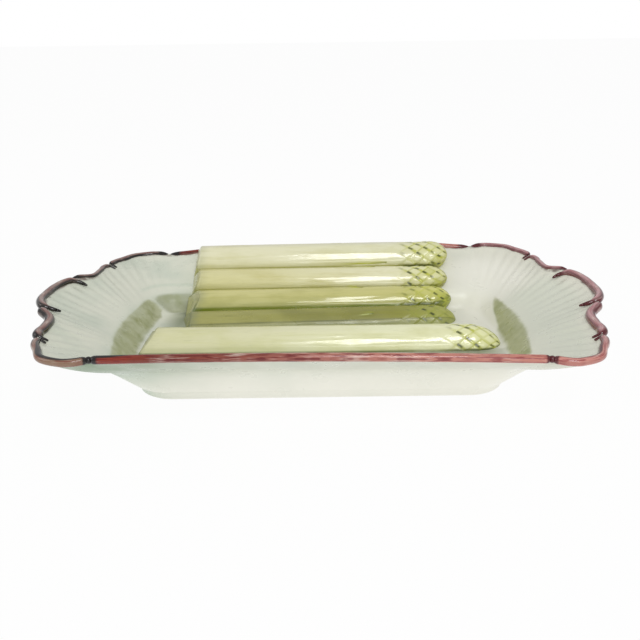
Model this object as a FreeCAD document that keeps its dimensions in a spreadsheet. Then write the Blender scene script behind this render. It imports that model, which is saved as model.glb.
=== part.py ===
"""Asparagus plate: an oblong faience platter with a scalloped rim of scrolls and five relief spears.

Frame: the origin is on the table under the middle of the foot. +X runs along the plate to the
spear tips, +Y runs to the back, where four spears lie on the sloping flange, and +Z is up.
Sizes are in millimetres, slopes come from the sizes.

The plate is luted together from pressed pieces before it is fired: the dish, its foot, the spears
and the scrolls of the rim. Each one is a solid of its own and meets the dish face to face.
"""
import FreeCAD, Part
import Sketcher
import math
import os

SIZES = {
    # whole plate, over the rim scrolls
    "plate_length": 379.0,
    "plate_width": 250.2,
    "rim_height": 46.0,
    "rail_rise": 4.0,
    "end_rise": 1.7,
    # points of the scalloped outline, on the middle line of the scrolls: how far each one lies in
    # from the end and from the side of the plate
    "knot_from_end": 67.5,
    "knot_from_side": 6.2,
    "brow_from_end": 58.5,
    "brow_from_side": 2.9,
    "crest_from_end": 50.0,
    "crest_from_side": 2.6,
    "bow_from_end": 38.0,
    "bow_from_side": 8.7,
    "flank_from_end": 31.0,
    "flank_from_side": 21.0,
    "fall_from_end": 28.2,
    "fall_from_side": 30.6,
    "notch_from_end": 27.5,
    "notch_from_side": 40.5,
    "hip_from_end": 24.2,
    "hip_from_side": 47.6,
    "waist_from_end": 22.9,
    "waist_from_side": 57.0,
    "hollow_from_end": 20.8,
    "hollow_from_side": 73.5,
    "volute_from_end": 12.5,
    "volute_from_side": 88.0,
    # thickness of the rolled scrolls
    "rail_bead": 4.4,
    "corner_bead": 5.2,
    "side_bead": 5.6,
    "end_bead": 6.2,
    "scroll_tip": 1.3,
    "scroll_taper": 9.0,
    "knot_gap": 1.2,
    # edge of the pressed dish, inside the scrolls, and the film of slip in each luted joint
    "edge_above": 0.8,
    "edge_below": 1.4,
    "slip": 0.04,
    # run of the sloping flange, at an end and at a side, down to the crease of the sauce well
    "flange_end": 53.5,
    "flange_side": 57.1,
    "well_corner": 20.0,
    "well_bow": 5.0,
    "well_height": 22.0,
    # run of the well's wall, down to the flat floor
    "wall_end": 10.5,
    "wall_side": 5.0,
    "floor_corner": 17.0,
    "floor_bow": 3.0,
    "floor_height": 10.0,
    # underside: how far the shoulder stands out past the crease
    "shoulder_end": 10.0,
    "shoulder_side": 8.5,
    "shoulder_corner": 46.0,
    "shoulder_height": 20.5,
    # run of the outer wall, from the shoulder down to the base
    "under_end": 23.0,
    "under_side": 4.8,
    "base_corner": 30.0,
    "base_height": 4.6,
    "under_bow": 3.0,
    # foot: how far it stands in from the edge of the base
    "foot_end": 7.0,
    "foot_side": 1.0,
    "foot_corner": 26.0,
    "foot_band": 5.0,
    "foot_edge": 1.0,
    # rear bank of four spears, on the line of the flange: the butts start, and each tip ends, this
    # far in from the ends of the well
    "bank_from_end": 35.5,
    "bank_from_side": 21.1,
    "bank_pitch": 25.4,
    "bank_sink": 1.8,
    "top_radius": 16.0,
    "top_from_end": 33.0,
    "top_bevel": 5.0,
    "second_radius": 14.0,
    "second_from_end": 36.0,
    "second_bevel": 7.0,
    "third_radius": 13.8,
    "third_from_end": 35.5,
    "third_bevel": 11.0,
    "low_radius": 14.6,
    "low_from_end": 35.0,
    "low_bevel": 8.0,
    # spear that lies alone on the floor: its butt and its tip from the ends of the floor, and its
    # middle line from that of the lowest spear of the bank
    "front_radius": 14.0,
    "front_bevel": 9.0,
    "front_butt_gap": 4.4,
    "front_tip_gap": 4.6,
    "front_spacing": 41.86,
    "front_sink": 1.2,
    # all spears: length of the tip; how far the bed under the bank and a cut run past their ends
    "tip_length": 24.0,
    "bed_sink": 1.5,
    "cut_margin": 3.0,
}

# Points of the scalloped outline, from the long rail to the end lobe. Every second one, from the
# second on, is the middle of an arc between its neighbours.
OUTLINE = (
    "knot", "brow", "crest", "bow", "flank", "fall", "notch", "hip", "waist", "hollow", "volute",
)

# Slope of the rear flange, from the crease of the well to the rail. An arc's mean height is two
# thirds of its rise.
SLOPE = (
    "atan((Sizes.rim_height + Sizes.edge_above + Sizes.rail_rise * 2 / 3 - Sizes.well_height)"
    " / (Sizes.flange_side - Sizes.rail_bead / 2))"
)

# How far each ring of the dish, and the foot, lies in from the plate's own length or width: the
# braces stand for "end" or "side".
INSETS = {
    "well": "Sizes.flange_{0}",
    "floor": "Sizes.flange_{0} + Sizes.wall_{0}",
    "shoulder": "Sizes.flange_{0} - Sizes.shoulder_{0}",
    "base": "Sizes.flange_{0} - Sizes.shoulder_{0} + Sizes.under_{0}",
    "foot": "Sizes.flange_{0} - Sizes.shoulder_{0} + Sizes.under_{0} + Sizes.foot_{0}",
}

# Where the same eleven points fall on a rounded rectangle: the first seven turn through its corner,
# the last four run down its end, as shares of the way from the middle of the end to the corner.
CORNER_STEPS = 6
END_SHARES = (0.86, 0.72, 0.58, 0.44)
LOFT_STATIONS = 15


def make_sheet(doc):
    """Put every driving size into the sheet, one row each, under its own alias."""
    sheet = doc.addObject("Spreadsheet::Sheet", "Sizes")
    for row, (alias, value) in enumerate(SIZES.items(), start=1):
        sheet.set("A%d" % row, alias)
        sheet.set("B%d" % row, str(value))
        sheet.setAlias("B%d" % row, alias)
    doc.recompute()
    return sheet


DOC = FreeCAD.newDocument("asparagus_plate")
SHEET = make_sheet(DOC)


def size(alias):
    """Read one driving size from the sheet."""
    return float(getattr(SHEET, alias))


def value_of(expression):
    """Work out an expression from the sheet."""
    return float(SHEET.evalExpression(expression))


def vector(x, y, z):
    """Shorthand for a point."""
    return FreeCAD.Vector(x, y, z)


def bind(item, **expressions):
    """Bind properties of an object to cells; a double underscore stands for a dot."""
    for name, expression in expressions.items():
        item.setExpression(name.replace("__", "."), expression)


# ---------------------------------------------------------------- rings of the dish

def ring_length(ring):
    """Expression for the length of a ring of the dish."""
    return "(Sizes.plate_length - 2 * (%s))" % INSETS[ring].format("end")


def ring_width(ring):
    """Expression for the width of a ring of the dish."""
    return "(Sizes.plate_width - 2 * (%s))" % INSETS[ring].format("side")


def outline_quadrant(spread=0.0):
    """Points of the scalloped outline where x and y are positive, moved outwards by the spread."""
    half_length = size("plate_length") / 2 + spread
    half_width = size("plate_width") / 2 + spread
    points = []
    for name in OUTLINE:
        x = half_length - size(name + "_from_end")
        y = half_width - size(name + "_from_side")
        points.append(vector(x, y, size("rim_height")))
    return points


def outline_ring(lift, spread=0.0):
    """Closed ring of 48 points along the rim; the rails and the end lobes rise to their middles."""
    side_y = (size("plate_width") - size("rail_bead")) / 2 + spread
    end_x = (size("plate_length") - size("end_bead")) / 2 + spread
    side = vector(0, side_y, size("rim_height") + size("rail_rise"))
    end = vector(end_x, 0, size("rim_height") + size("end_rise"))
    return close_ring(outline_quadrant(spread), side, end, lift)


def rounded_quadrant(prefix, bow):
    """Points of a rounded rectangle with bowed ends, matched to those of the outline."""
    half_length = value_of(ring_length(prefix)) / 2
    half_width = value_of(ring_width(prefix)) / 2
    radius = size(prefix + "_corner")
    height = size(prefix + "_height")
    centre_x = half_length - bow - radius
    centre_y = half_width - radius
    points = []
    for step in range(CORNER_STEPS + 1):
        angle = math.radians(90.0 * (CORNER_STEPS - step) / CORNER_STEPS)
        x = centre_x + radius * math.cos(angle)
        y = centre_y + radius * math.sin(angle)
        points.append(vector(x, y, height))
    for share in END_SHARES:
        points.append(vector(half_length - bow * share ** 2, centre_y * share, height))
    return points


def rounded_ring(prefix, bow, lift=0.0):
    """Closed ring of 48 points round a rounded rectangle."""
    height = size(prefix + "_height")
    side = vector(0, value_of(ring_width(prefix)) / 2, height)
    end = vector(value_of(ring_length(prefix)) / 2, 0, height)
    return close_ring(rounded_quadrant(prefix, bow), side, end, lift)


def close_ring(quadrant, side, end, lift):
    """Mirror one quadrant into a whole ring, anticlockwise from the right-hand end lobe."""
    def turned(points, sign_x, sign_y):
        return [vector(sign_x * p.x, sign_y * p.y, p.z + lift) for p in points]

    backwards = list(reversed(quadrant))
    ring = turned(backwards, 1, 1) + turned([side], 1, 1)
    ring += turned(quadrant, -1, 1) + turned([end], -1, 1)
    ring += turned(backwards, -1, -1) + turned([side], 1, -1)
    ring += turned(quadrant, 1, -1) + turned([end], 1, 1)
    return ring


def curve_through(first, middle, last):
    """An arc through three points, or a straight line when they lie in one."""
    bend = (middle - first).cross(last - first).Length
    if bend < 0.001 * (last - first).Length:
        return Part.LineSegment(first, last).toShape()
    return Part.Arc(first, middle, last).toShape()


def ring_edges(ring):
    """Edges of a ring: one arc for each two steps."""
    closed = ring + ring[:1]
    return [curve_through(*closed[i:i + 3]) for i in range(0, len(ring), 2)]


def band(lower, upper):
    """Ruled faces between two matched rings."""
    return [Part.makeRuledSurface(a, b) for a, b in zip(ring_edges(lower), ring_edges(upper))]


def cap(ring):
    """Flat face inside a level ring."""
    return Part.Face(Part.Wire(ring_edges(ring)))


def dish_shape(film=0.0):
    """The pressed dish, or the dish under a film: flange, well and floor above, outer wall below."""
    edge_top = outline_ring(size("edge_above") + film, film)
    edge_bottom = outline_ring(-size("edge_below") - film, film)
    crease = rounded_ring("well", size("well_bow"), film)
    floor = rounded_ring("floor", size("floor_bow"), film)
    shoulder = rounded_ring("shoulder", size("under_bow"), -film)
    base = rounded_ring("base", size("under_bow"), -film)
    faces = band(edge_bottom, edge_top) + band(edge_top, crease) + band(crease, floor)
    faces += band(edge_bottom, shoulder) + band(shoulder, base)
    return solid_of(faces + [cap(floor), cap(base)])


def ground_shape(film):
    """Everything under a film on the upper face of the dish, which the spears are cut to."""
    edge_top = outline_ring(size("edge_above") + film)
    crease = rounded_ring("well", size("well_bow"), film)
    floor = rounded_ring("floor", size("floor_bow"), film)
    depth = [vector(p.x, p.y, -size("rim_height")) for p in edge_top]
    faces = band(depth, edge_top) + band(edge_top, crease) + band(crease, floor)
    return solid_of(faces + [cap(floor), cap(depth)])


def solid_of(faces):
    """A solid inside faces that close a space."""
    shell = Part.makeShell(faces)
    shell.sewShape()
    solid = Part.makeSolid(shell)
    if solid.Volume < 0:
        solid.reverse()
    return solid


# ---------------------------------------------------------------- bank of spears

BANK = ("top", "second", "third", "low")
BANK_START = "(Sizes.bank_from_end - %s / 2)" % ring_length("well")


def bank_length(prefix):
    """Expression for the length of a spear of the bank, between its places at the well's ends."""
    return "(%s - Sizes.bank_from_end - Sizes.%s_from_end)" % (ring_length("well"), prefix)


def front_length():
    """Expression for the length of the spear that lies alone, within the floor."""
    return "(%s - Sizes.front_butt_gap - Sizes.front_tip_gap)" % ring_length("floor")


def lane_y(index):
    """Expression for the place across the plate of a bank spear's middle line, the top one first."""
    inward = "Sizes.bank_from_side + %d * Sizes.bank_pitch * cos(%s)" % (index, SLOPE)
    return "(Sizes.plate_width / 2 - (%s))" % inward


def flange_foot():
    """Rear crease of the well: y and z of the lower end of the flange."""
    return value_of(ring_width("well")) / 2, size("well_height")


def flange_slope():
    """Angle of the rear flange above the table, from the crease to the mean height of the rail."""
    return math.radians(value_of(SLOPE))


def bed_shape(film=0.0):
    """Raised bed that carries the flange's slope down to the floor, or the bed under a film."""
    slope = flange_slope()
    foot_y, foot_z = flange_foot()
    sunk_z = size("floor_height") - size("bed_sink")
    front_y = foot_y - (foot_z - sunk_z) / math.tan(slope)
    back_y = foot_y + size("bed_sink")
    back_z = foot_z + size("bed_sink") * math.tan(slope)
    start = value_of(BANK_START)
    run = value_of(bank_length("low")) - size("tip_length")
    corners = [vector(start, front_y, sunk_z), vector(start, back_y, sunk_z), vector(start, back_y, back_z)]
    outline = Part.makePolygon(corners + corners[:1])
    outline.translate(vector(0, 0, film))
    return Part.Face(outline).extrude(vector(run, 0, 0))


# ---------------------------------------------------------------- rim scrolls

def flange_drop(distance):
    """How far the flange falls over a distance in from the rim."""
    return distance * math.tan(flange_slope())


def scroll_radius(position, length, bead):
    """Radius of a scroll at a position along it: full in the middle, drawn out at both ends."""
    tip = size("scroll_tip")
    reach = min(size("scroll_taper"), length / 2)
    nearest = min(position, length - position)
    if nearest >= reach:
        return bead / 2
    swell = math.sin(0.5 * math.pi * nearest / reach) ** 0.7
    return tip / 2 + (bead / 2 - tip / 2) * swell


def scroll_shape(points, bead):
    """A rolled scroll: circles of changing size lofted along a curve through the points."""
    spine = Part.BSplineCurve()
    spine.interpolate(points)
    length = spine.length()
    rings = []
    for station in range(LOFT_STATIONS):
        turn = math.pi * station / (LOFT_STATIONS - 1)
        position = length * (1 - math.cos(turn)) / 2
        parameter = spine.parameterAtDistance(position)
        centre = spine.value(parameter)
        along = spine.tangent(parameter)[0]
        rings.append(ring_about(centre, along, scroll_radius(position, length, bead)))
    return Part.makeLoft(rings, True, False)


def ring_about(centre, along, radius):
    """Circle of a scroll, which starts at its top."""
    side = along.cross(vector(0, 0, 1)).normalize() * radius
    top = side.cross(along).normalize() * radius
    return Part.Wire(Part.Circle(centre + top, centre + side, centre - top).toShape())


def rail_points():
    """Middle line of the rear rail, from knot to knot."""
    ring = outline_ring(0.0)
    knot = outline_quadrant()[0]
    middle = [p for p in ring if p.x == 0 and p.y > 0][0]
    rail = Part.Arc(vector(-knot.x, knot.y, knot.z), middle, knot).toShape()
    inset = size("knot_gap") / rail.Length
    first, last = rail.ParameterRange
    shares = (inset, 0.25, 0.5, 0.75, 1 - inset)
    return [rail.valueAt(first + share * (last - first)) for share in shares]


def corner_points():
    """Middle line of a corner scroll, from its knot to the curl at the notch."""
    quadrant = outline_quadrant()
    knot, brow, crest, bow, flank, fall, notch = quadrant[:7]
    start = knot + (brow - knot) * (size("knot_gap") / (brow - knot).Length)
    bead = size("corner_bead")
    last = notch + vector(-0.3 * bead, 0.55 * bead, 0)
    curl = notch + vector(-1.3 * bead, 0.45 * bead, -flange_drop(bead))
    return [start, brow, crest, bow, flank, fall, last, curl]


def side_points():
    """Middle line of a side scroll: a curl at the notch, an S, and the volute outside the end lobe."""
    quadrant = outline_quadrant()
    notch, hip, waist, hollow, volute = quadrant[6:]
    bead = size("side_bead")
    curl = notch + vector(-1.2 * bead, -0.35 * bead, -flange_drop(bead))
    first = notch + vector(-0.1 * bead, -0.35 * bead, 0)
    turn = volute + vector(-0.35 * bead, 1.0 * bead, 0)
    return [curl, first, hip, waist, hollow, turn, volute + vector(0.15 * bead, 0.3 * bead, 0)]


def end_points():
    """Middle line of the right-hand end lobe, with a long curl inwards at both ends."""
    volute = outline_quadrant()[-1]
    bead = size("end_bead")
    middle = vector(size("plate_length") / 2 - bead / 2, 0, size("rim_height") + size("end_rise"))
    curl = volute + vector(-2.2 * bead, -0.55 * bead, -flange_drop(2.0 * bead))
    bend = volute + vector(-1.0 * bead, -0.45 * bead, -flange_drop(0.8 * bead))
    turn = volute + vector(0.15 * bead, -0.8 * bead, 0)
    flank = (volute + middle) * 0.5 + vector(0.43 * bead, 0, 0)
    half = [curl, bend, turn, flank]
    other = [vector(p.x, -p.y, p.z) for p in reversed(half)]
    return half + [middle] + other


def add_shape(name, shape):
    """A document object that holds a shape made here."""
    item = DOC.addObject("Part::Feature", name)
    item.Shape = shape
    item.Placement = FreeCAD.Placement()
    return item


# ---------------------------------------------------------------- sketches and bodies

def origin_plane(body, role):
    """One of a body's own origin planes."""
    return [plane for plane in body.Origin.OriginFeatures if plane.Role == role][0]


def add_sketch(body, name, role):
    """A sketch on one of the body's origin planes."""
    sketch = body.newObject("Sketcher::SketchObject", name)
    sketch.AttachmentSupport = (origin_plane(body, role), "")
    sketch.MapMode = "FlatFace"
    return sketch


def pin_point(sketch, edge, end, across, up):
    """Tie an end of an edge to two expressions, for its place across and up the sketch."""
    for kind, expression, axis in (("DistanceX", across, -2), ("DistanceY", up, -1)):
        if expression == "0":
            sketch.addConstraint(Sketcher.Constraint("PointOnObject", edge, end, axis))
            continue
        distance = Sketcher.Constraint(kind, -1, 1, edge, end, value_of(expression))
        index = sketch.addConstraint(distance)
        sketch.setExpression("Constraints[%d]" % index, expression)


def tangent_arc(before, start, finish):
    """Arc from start to finish that leaves start in line with the edge before it."""
    along = (start - before).normalize()
    normal = vector(-along.y, along.x, 0)
    chord = finish - start
    radius = chord.dot(chord) / (2 * chord.dot(normal))
    centre = start + normal * radius
    first = math.atan2(start.y - centre.y, start.x - centre.x)
    last = math.atan2(finish.y - centre.y, finish.x - centre.x)
    circle = Part.Circle(centre, vector(0, 0, 1), abs(radius))
    if radius > 0:
        return Part.ArcOfCircle(circle, first, last), (1, 2)
    return Part.ArcOfCircle(circle, last, first), (2, 1)


def draw_profile(sketch, corners, arcs=()):
    """Closed profile through pinned corners; the edges in arcs leave in line with the one before."""
    places = [vector(value_of(across), value_of(up), 0) for across, up in corners]
    count = len(places)
    edges = []
    for index in range(count):
        start = places[index]
        finish = places[(index + 1) % count]
        geometry, ends = Part.LineSegment(start, finish), (1, 2)
        if index in arcs:
            geometry, ends = tangent_arc(places[index - 1], start, finish)
        edges.append((sketch.addGeometry(geometry), ends))
    for index, (edge, ends) in enumerate(edges):
        following, next_ends = edges[(index + 1) % count]
        kind = "Tangent" if (index + 1) % count in arcs else "Coincident"
        sketch.addConstraint(Sketcher.Constraint(kind, edge, ends[1], following, next_ends[0]))
    for (edge, ends), (across, up) in zip(edges, corners):
        pin_point(sketch, edge, ends[0], across, up)


def rounded_corners(length, width, radius):
    """Corners of a rounded rectangle about the middle; every second edge is an arc."""
    far_x = "(%s) / 2" % length
    far_y = "(%s) / 2" % width
    near_x = "((%s) / 2 - (%s))" % (length, radius)
    near_y = "((%s) / 2 - (%s))" % (width, radius)
    return [
        ("-" + near_x, "-" + far_y), (near_x, "-" + far_y),
        (far_x, "-" + near_y), (far_x, near_y),
        (near_x, far_y), ("-" + near_x, far_y),
        ("-" + far_x, near_y), ("-" + far_x, "-" + near_y),
    ]


CORNER_ARCS = (1, 3, 5, 7)


def make_foot_ring():
    """Foot: a flat rounded band under the base, with its outer lower edge rounded off."""
    body = DOC.addObject("PartDesign::Body", "foot_ring")
    sketch = add_sketch(body, "foot_outline", "XY_Plane")
    length, width, radius = ring_length("foot"), ring_width("foot"), "Sizes.foot_corner"
    draw_profile(sketch, rounded_corners(length, width, radius), CORNER_ARCS)
    less = " - 2 * Sizes.foot_band"
    inner = rounded_corners(length + less, width + less, radius + " - Sizes.foot_band")
    draw_profile(sketch, inner, CORNER_ARCS)
    pad = body.newObject("PartDesign::Pad", "foot_pad")
    pad.Profile = sketch
    bind(pad, Length="Sizes.base_height")
    DOC.recompute()
    fillet = body.newObject("PartDesign::Fillet", "foot_rounding")
    fillet.Base = (pad, lower_edges(pad.Shape))
    bind(fillet, Radius="Sizes.foot_edge")
    return body


def lower_edges(shape):
    """Names of the edges that lie at the foot of a shape."""
    names = []
    for number, edge in enumerate(shape.Edges, start=1):
        if edge.BoundBox.ZMax < shape.BoundBox.ZMin + 0.001:
            names.append("Edge%d" % number)
    return names


def valley(prefix, neighbour):
    """How far from a bank spear's middle line its round meets that of a neighbour."""
    terms = (prefix, neighbour)
    return "(Sizes.bank_pitch + (Sizes.%s_radius ^ 2 - Sizes.%s_radius ^ 2) / Sizes.bank_pitch) / 2" % terms


def make_round(prefix, length):
    """A whole round spear along its own X axis: stem, pointed tip, and a bevelled butt."""
    radius = "Sizes.%s_radius" % prefix
    reach = "(%s + Sizes.cut_margin)" % radius
    body = DOC.addObject("PartDesign::Body", prefix + "_round")
    profile = add_sketch(body, prefix + "_profile", "XZ_Plane")
    stem_end = length + " - Sizes.tip_length"
    draw_profile(profile, [("0", "0"), ("0", radius), (stem_end, radius), (length, "0")], (2,))
    turned = body.newObject("PartDesign::Revolution", prefix + "_turned")
    turned.Profile = profile
    turned.ReferenceAxis = (profile, ["H_Axis"])
    turned.Angle = 360.0
    DOC.recompute()
    lean = "Sizes.%s_bevel * %s / %s" % (prefix, reach, radius)
    corners = [
        ("-2 * " + reach, "-" + reach), ("-" + lean, "-" + reach),
        (lean, reach), ("-2 * " + reach, reach),
    ]
    cut_through(body, prefix + "_bevel", "XZ_Plane", corners)
    return body


def cut_through(body, name, role, corners):
    """Cut a body right through, both ways, with a profile on one of its planes."""
    sketch = add_sketch(body, name + "_line", role)
    draw_profile(sketch, corners)
    cut = body.newObject("PartDesign::Pocket", name)
    cut.Profile = sketch
    cut.Type = "ThroughAll"
    cut.SideType = "Symmetric"
    before = body.Shape.Volume
    DOC.recompute()
    if not body.Shape.Volume < before:
        raise RuntimeError(name + " cuts nothing")


def trim_to_lane(body, prefix, front, rear):
    """Cut away what lies past the valleys to its neighbours, and the half below its middle line."""
    wide = "2 * Sizes.bank_pitch"
    low = "0"
    corners = [
        ("-" + wide, "-" + wide), (wide, "-" + wide), (wide, wide), (rear, wide),
        (rear, low), ("-" + front, low), ("-" + front, wide), ("-" + wide, wide),
    ]
    cut_through(body, prefix + "_lane", "YZ_Plane", corners)


def place_on_bank(body, index):
    """Turn a spear to the slope of the flange and move it to its lane, counted from the top one."""
    body.Placement = FreeCAD.Placement(vector(0, 0, 0), FreeCAD.Rotation(vector(1, 0, 0), 1))
    behind = "(%s - %s / 2)" % (lane_y(index), ring_width("well"))
    rise = "%s * tan(%s) - Sizes.bank_sink / cos(%s)" % (behind, SLOPE, SLOPE)
    body.setExpression("Placement.Rotation.Angle", SLOPE)
    body.setExpression("Placement.Base.x", BANK_START)
    body.setExpression("Placement.Base.y", lane_y(index))
    body.setExpression("Placement.Base.z", "Sizes.well_height + " + rise)


def place_in_front(body):
    """Lay the front spear along the well floor, its butt against the left-hand end."""
    body.setExpression("Placement.Base.x", "Sizes.front_butt_gap - %s / 2" % ring_length("floor"))
    body.setExpression("Placement.Base.y", "%s - Sizes.front_spacing" % lane_y(BANK.index("low")))
    body.setExpression("Placement.Base.z", "Sizes.floor_height - Sizes.front_sink")


def make_spears(ground):
    """The five spears, each cut to the face of the dish that it is luted to."""
    rounds = {prefix: make_round(prefix, bank_length(prefix)) for prefix in BANK}
    rounds["front"] = make_round("front", front_length())
    past = "2 * Sizes.bank_pitch - Sizes.cut_margin"
    trim_to_lane(rounds["top"], "top", valley("top", "second"), past)
    trim_to_lane(rounds["second"], "second", valley("second", "third"), valley("second", "top"))
    trim_to_lane(rounds["third"], "third", valley("third", "low"), valley("third", "second"))
    trim_to_lane(rounds["low"], "low", past, valley("low", "third"))
    place_in_front(rounds["front"])
    spears = [add_boolean("Part::Cut", "spear_front", rounds["front"], ground)]
    for index, prefix in enumerate(BANK):
        place_on_bank(rounds[prefix], index)
        spears.append(add_boolean("Part::Cut", "spear_bank_" + prefix, rounds[prefix], ground))
    return spears


def add_boolean(kind, name, base, tool):
    """One object cut by another, or joined to it."""
    result = DOC.addObject(kind, name)
    result.Base = base
    result.Tool = tool
    return result


def add_mirror(name, source, normal):
    """The mirror image of an object through the middle of the plate."""
    image = DOC.addObject("Part::Mirroring", name)
    image.Source = source
    image.Normal = normal
    image.Base = (0, 0, 0)
    return image


def make_platter():
    """The dish with the bed of the rear bank pressed up in it."""
    dish = add_shape("dish", dish_shape())
    bed = add_shape("bank_bed", bed_shape())
    return add_boolean("Part::Fuse", "platter_body", dish, bed)


def make_seats():
    """What the scrolls and the spears are cut to: the dish, and all below its face, under slip."""
    slip = size("slip")
    seat = add_shape("scroll_seat", dish_shape(slip))
    under = add_shape("under_dish", ground_shape(slip))
    bed = add_shape("bed_seat", bed_shape(slip))
    return seat, add_boolean("Part::Fuse", "ground", under, bed)


def make_scrolls(seat):
    """The twelve scrolls of the rim: each kind is made once, cut to the dish and mirrored."""
    across = vector(1, 0, 0)
    along = vector(0, 1, 0)
    rail_roll = add_shape("rail_roll", scroll_shape(rail_points(), size("rail_bead")))
    corner_roll = add_shape("corner_roll", scroll_shape(corner_points(), size("corner_bead")))
    side_roll = add_shape("side_roll", scroll_shape(side_points(), size("side_bead")))
    end_roll = add_shape("end_roll", scroll_shape(end_points(), size("end_bead")))
    side_roll_front = add_mirror("side_roll_front", side_roll, along)

    rail = add_boolean("Part::Cut", "rim_rail_rear", rail_roll, seat)
    corner = add_boolean("Part::Cut", "rim_corner_rear_right", corner_roll, seat)
    side_open = add_boolean("Part::Cut", "side_on_dish", side_roll, seat)
    side = add_boolean("Part::Cut", "rim_side_rear_right", side_open, corner_roll)
    end_open = add_boolean("Part::Cut", "end_on_dish", end_roll, seat)
    end_rear = add_boolean("Part::Cut", "end_clear_of_rear", end_open, side_roll)
    end = add_boolean("Part::Cut", "rim_end_right", end_rear, side_roll_front)

    scrolls = [rail, corner, side, end]
    scrolls.append(add_mirror("rim_rail_front", rail, along))
    scrolls.append(add_mirror("rim_end_left", end, across))
    for kind, source in (("corner", corner), ("side", side)):
        front = add_mirror("rim_%s_front_right" % kind, source, along)
        left = add_mirror("rim_%s_rear_left" % kind, source, across)
        front_left = add_mirror("rim_%s_front_left" % kind, front, across)
        scrolls += [front, left, front_left]
    return scrolls


def check(nodes):
    """Stop if a step of the model failed or a piece is not one sound solid."""
    for item in DOC.Objects:
        if "Invalid" in item.State or "Error" in item.State:
            raise RuntimeError("%s: %s" % (item.Name, item.State))
    for node in nodes:
        shape = node.Shape
        if shape.isNull() or not shape.isValid() or len(shape.Solids) != 1:
            raise RuntimeError("%s is not one sound solid" % node.Label)


def main():
    """Build the document, check it and write one file for each piece."""
    seat, ground = make_seats()
    nodes = [make_platter(), make_foot_ring()] + make_spears(ground) + make_scrolls(seat)
    DOC.recompute()
    check(nodes)
    os.makedirs("parts", exist_ok=True)
    for node in nodes:
        node.Label = node.Name
        node.Shape.exportStep("parts/%s.step" % node.Label)
        box = node.Shape.BoundBox
        sizes = (box.XMin, box.XMax, box.YMin, box.YMax, box.ZMin, box.ZMax)
        print(node.Label, " ".join("%.1f" % edge for edge in sizes), "%.0f mm3" % node.Shape.Volume)


main()
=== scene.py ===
"""Looks of the asparagus plate: faience dish, luted spears and painted rim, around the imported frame.

Lengths are in millimetres until they reach a mesh, which is in metres like the frame. +X runs to the
spear tips, +Y to the bank of spears at the back, +Z up, with the origin on the table under the foot.
A field that holds a pair of limits says where an ease begins and where it is complete.
"""
import logging
import math
from dataclasses import dataclass, field
from enum import Enum
from typing import Iterable

import bmesh
import bpy
from mathutils import Matrix, Vector, noise


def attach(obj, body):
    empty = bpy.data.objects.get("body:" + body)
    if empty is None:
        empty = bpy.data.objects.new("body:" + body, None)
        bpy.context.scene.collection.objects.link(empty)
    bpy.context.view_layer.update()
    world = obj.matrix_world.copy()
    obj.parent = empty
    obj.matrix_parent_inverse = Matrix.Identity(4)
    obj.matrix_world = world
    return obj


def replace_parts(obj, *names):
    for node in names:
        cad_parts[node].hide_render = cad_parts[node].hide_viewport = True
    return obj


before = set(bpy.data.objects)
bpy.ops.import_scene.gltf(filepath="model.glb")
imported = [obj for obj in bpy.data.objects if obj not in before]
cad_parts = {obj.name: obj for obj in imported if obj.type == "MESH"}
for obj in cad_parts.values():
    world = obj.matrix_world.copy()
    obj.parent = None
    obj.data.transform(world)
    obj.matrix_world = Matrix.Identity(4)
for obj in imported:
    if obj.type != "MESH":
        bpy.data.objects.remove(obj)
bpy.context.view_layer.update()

LOG = logging.getLogger("asparagus_plate")
MM = 0.001
BODY = "root"
Pair = tuple[float, float]
Place = tuple[float, float, float]
Ring = list[Vector]
Marks = dict[str, list[float]]
Socket = bpy.types.NodeSocket
Tree = bpy.types.NodeTree

# The bank of spears leans as steeply as the flange falls.
FLANGE_SLOPE = math.radians(26.58)


class Row(Enum):
    """Which long side a piece of the rim lies on, with the sign of its y."""

    REAR = 1
    FRONT = -1


class Hand(Enum):
    """Which end a piece of the rim lies at, with the sign of its x."""

    RIGHT = 1
    LEFT = -1


# ---------------------------------------------------------------- small maths

SPLINE_STEPS = 24
STRAIGHT = 1e-3


def clamp(value: float, low: float = 0.0, high: float = 1.0) -> float:
    """Keep a value between two limits."""
    return max(low, min(high, value))


def smooth(value: float, start: float, stop: float) -> float:
    """Ease from 0 at start to 1 at stop.

    Args:
        value: where to look.
        start: value at which the ease begins.
        stop: value at which it is complete; it may be below start.

    Returns:
        A share from 0 to 1.
    """
    share = clamp((value - start) / (stop - start))
    return share * share * (3.0 - 2.0 * share)


def mix(first: Vector, last: Vector, share: float) -> Vector:
    """Point at a share of the way from first to last."""
    return first.lerp(last, share)


def bend(first: Vector, corner: Vector, last: Vector, share: float) -> Vector:
    """Point of a rounded corner."""
    return mix(mix(first, corner, share), mix(corner, last, share), share)


def mirrored(points: Iterable[Vector], x: int, y: int) -> Ring:
    """The points with x and y each multiplied by 1 or -1."""
    return [Vector((x * p.x, y * p.y, p.z)) for p in points]


def arc_through(first: Vector, middle: Vector, last: Vector, count: int) -> Ring:
    """Points along the arc through three points.

    Args:
        first: start of the arc.
        middle: a point on it.
        last: its end, which isn't among the points returned.
        count: how many points to return.

    Returns:
        Evenly spaced points from first up to just before last.
    """
    chord, other = last - first, middle - first
    normal = chord.cross(other)
    if normal.length < STRAIGHT * chord.length:
        return [mix(first, last, step / count) for step in range(count)]
    offset = normal.cross(chord) * other.length_squared - normal.cross(other) * chord.length_squared
    centre = first + offset / (2.0 * normal.length_squared)
    arm = first - centre
    across = normal.normalized().cross(arm)
    angle = math.atan2((last - centre).dot(across), (last - centre).dot(arm))
    if angle > 0.0:
        angle -= 2.0 * math.pi
    return [centre + arm * math.cos(turn) + across * math.sin(turn)
            for turn in (angle * step / count for step in range(count))]


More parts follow.
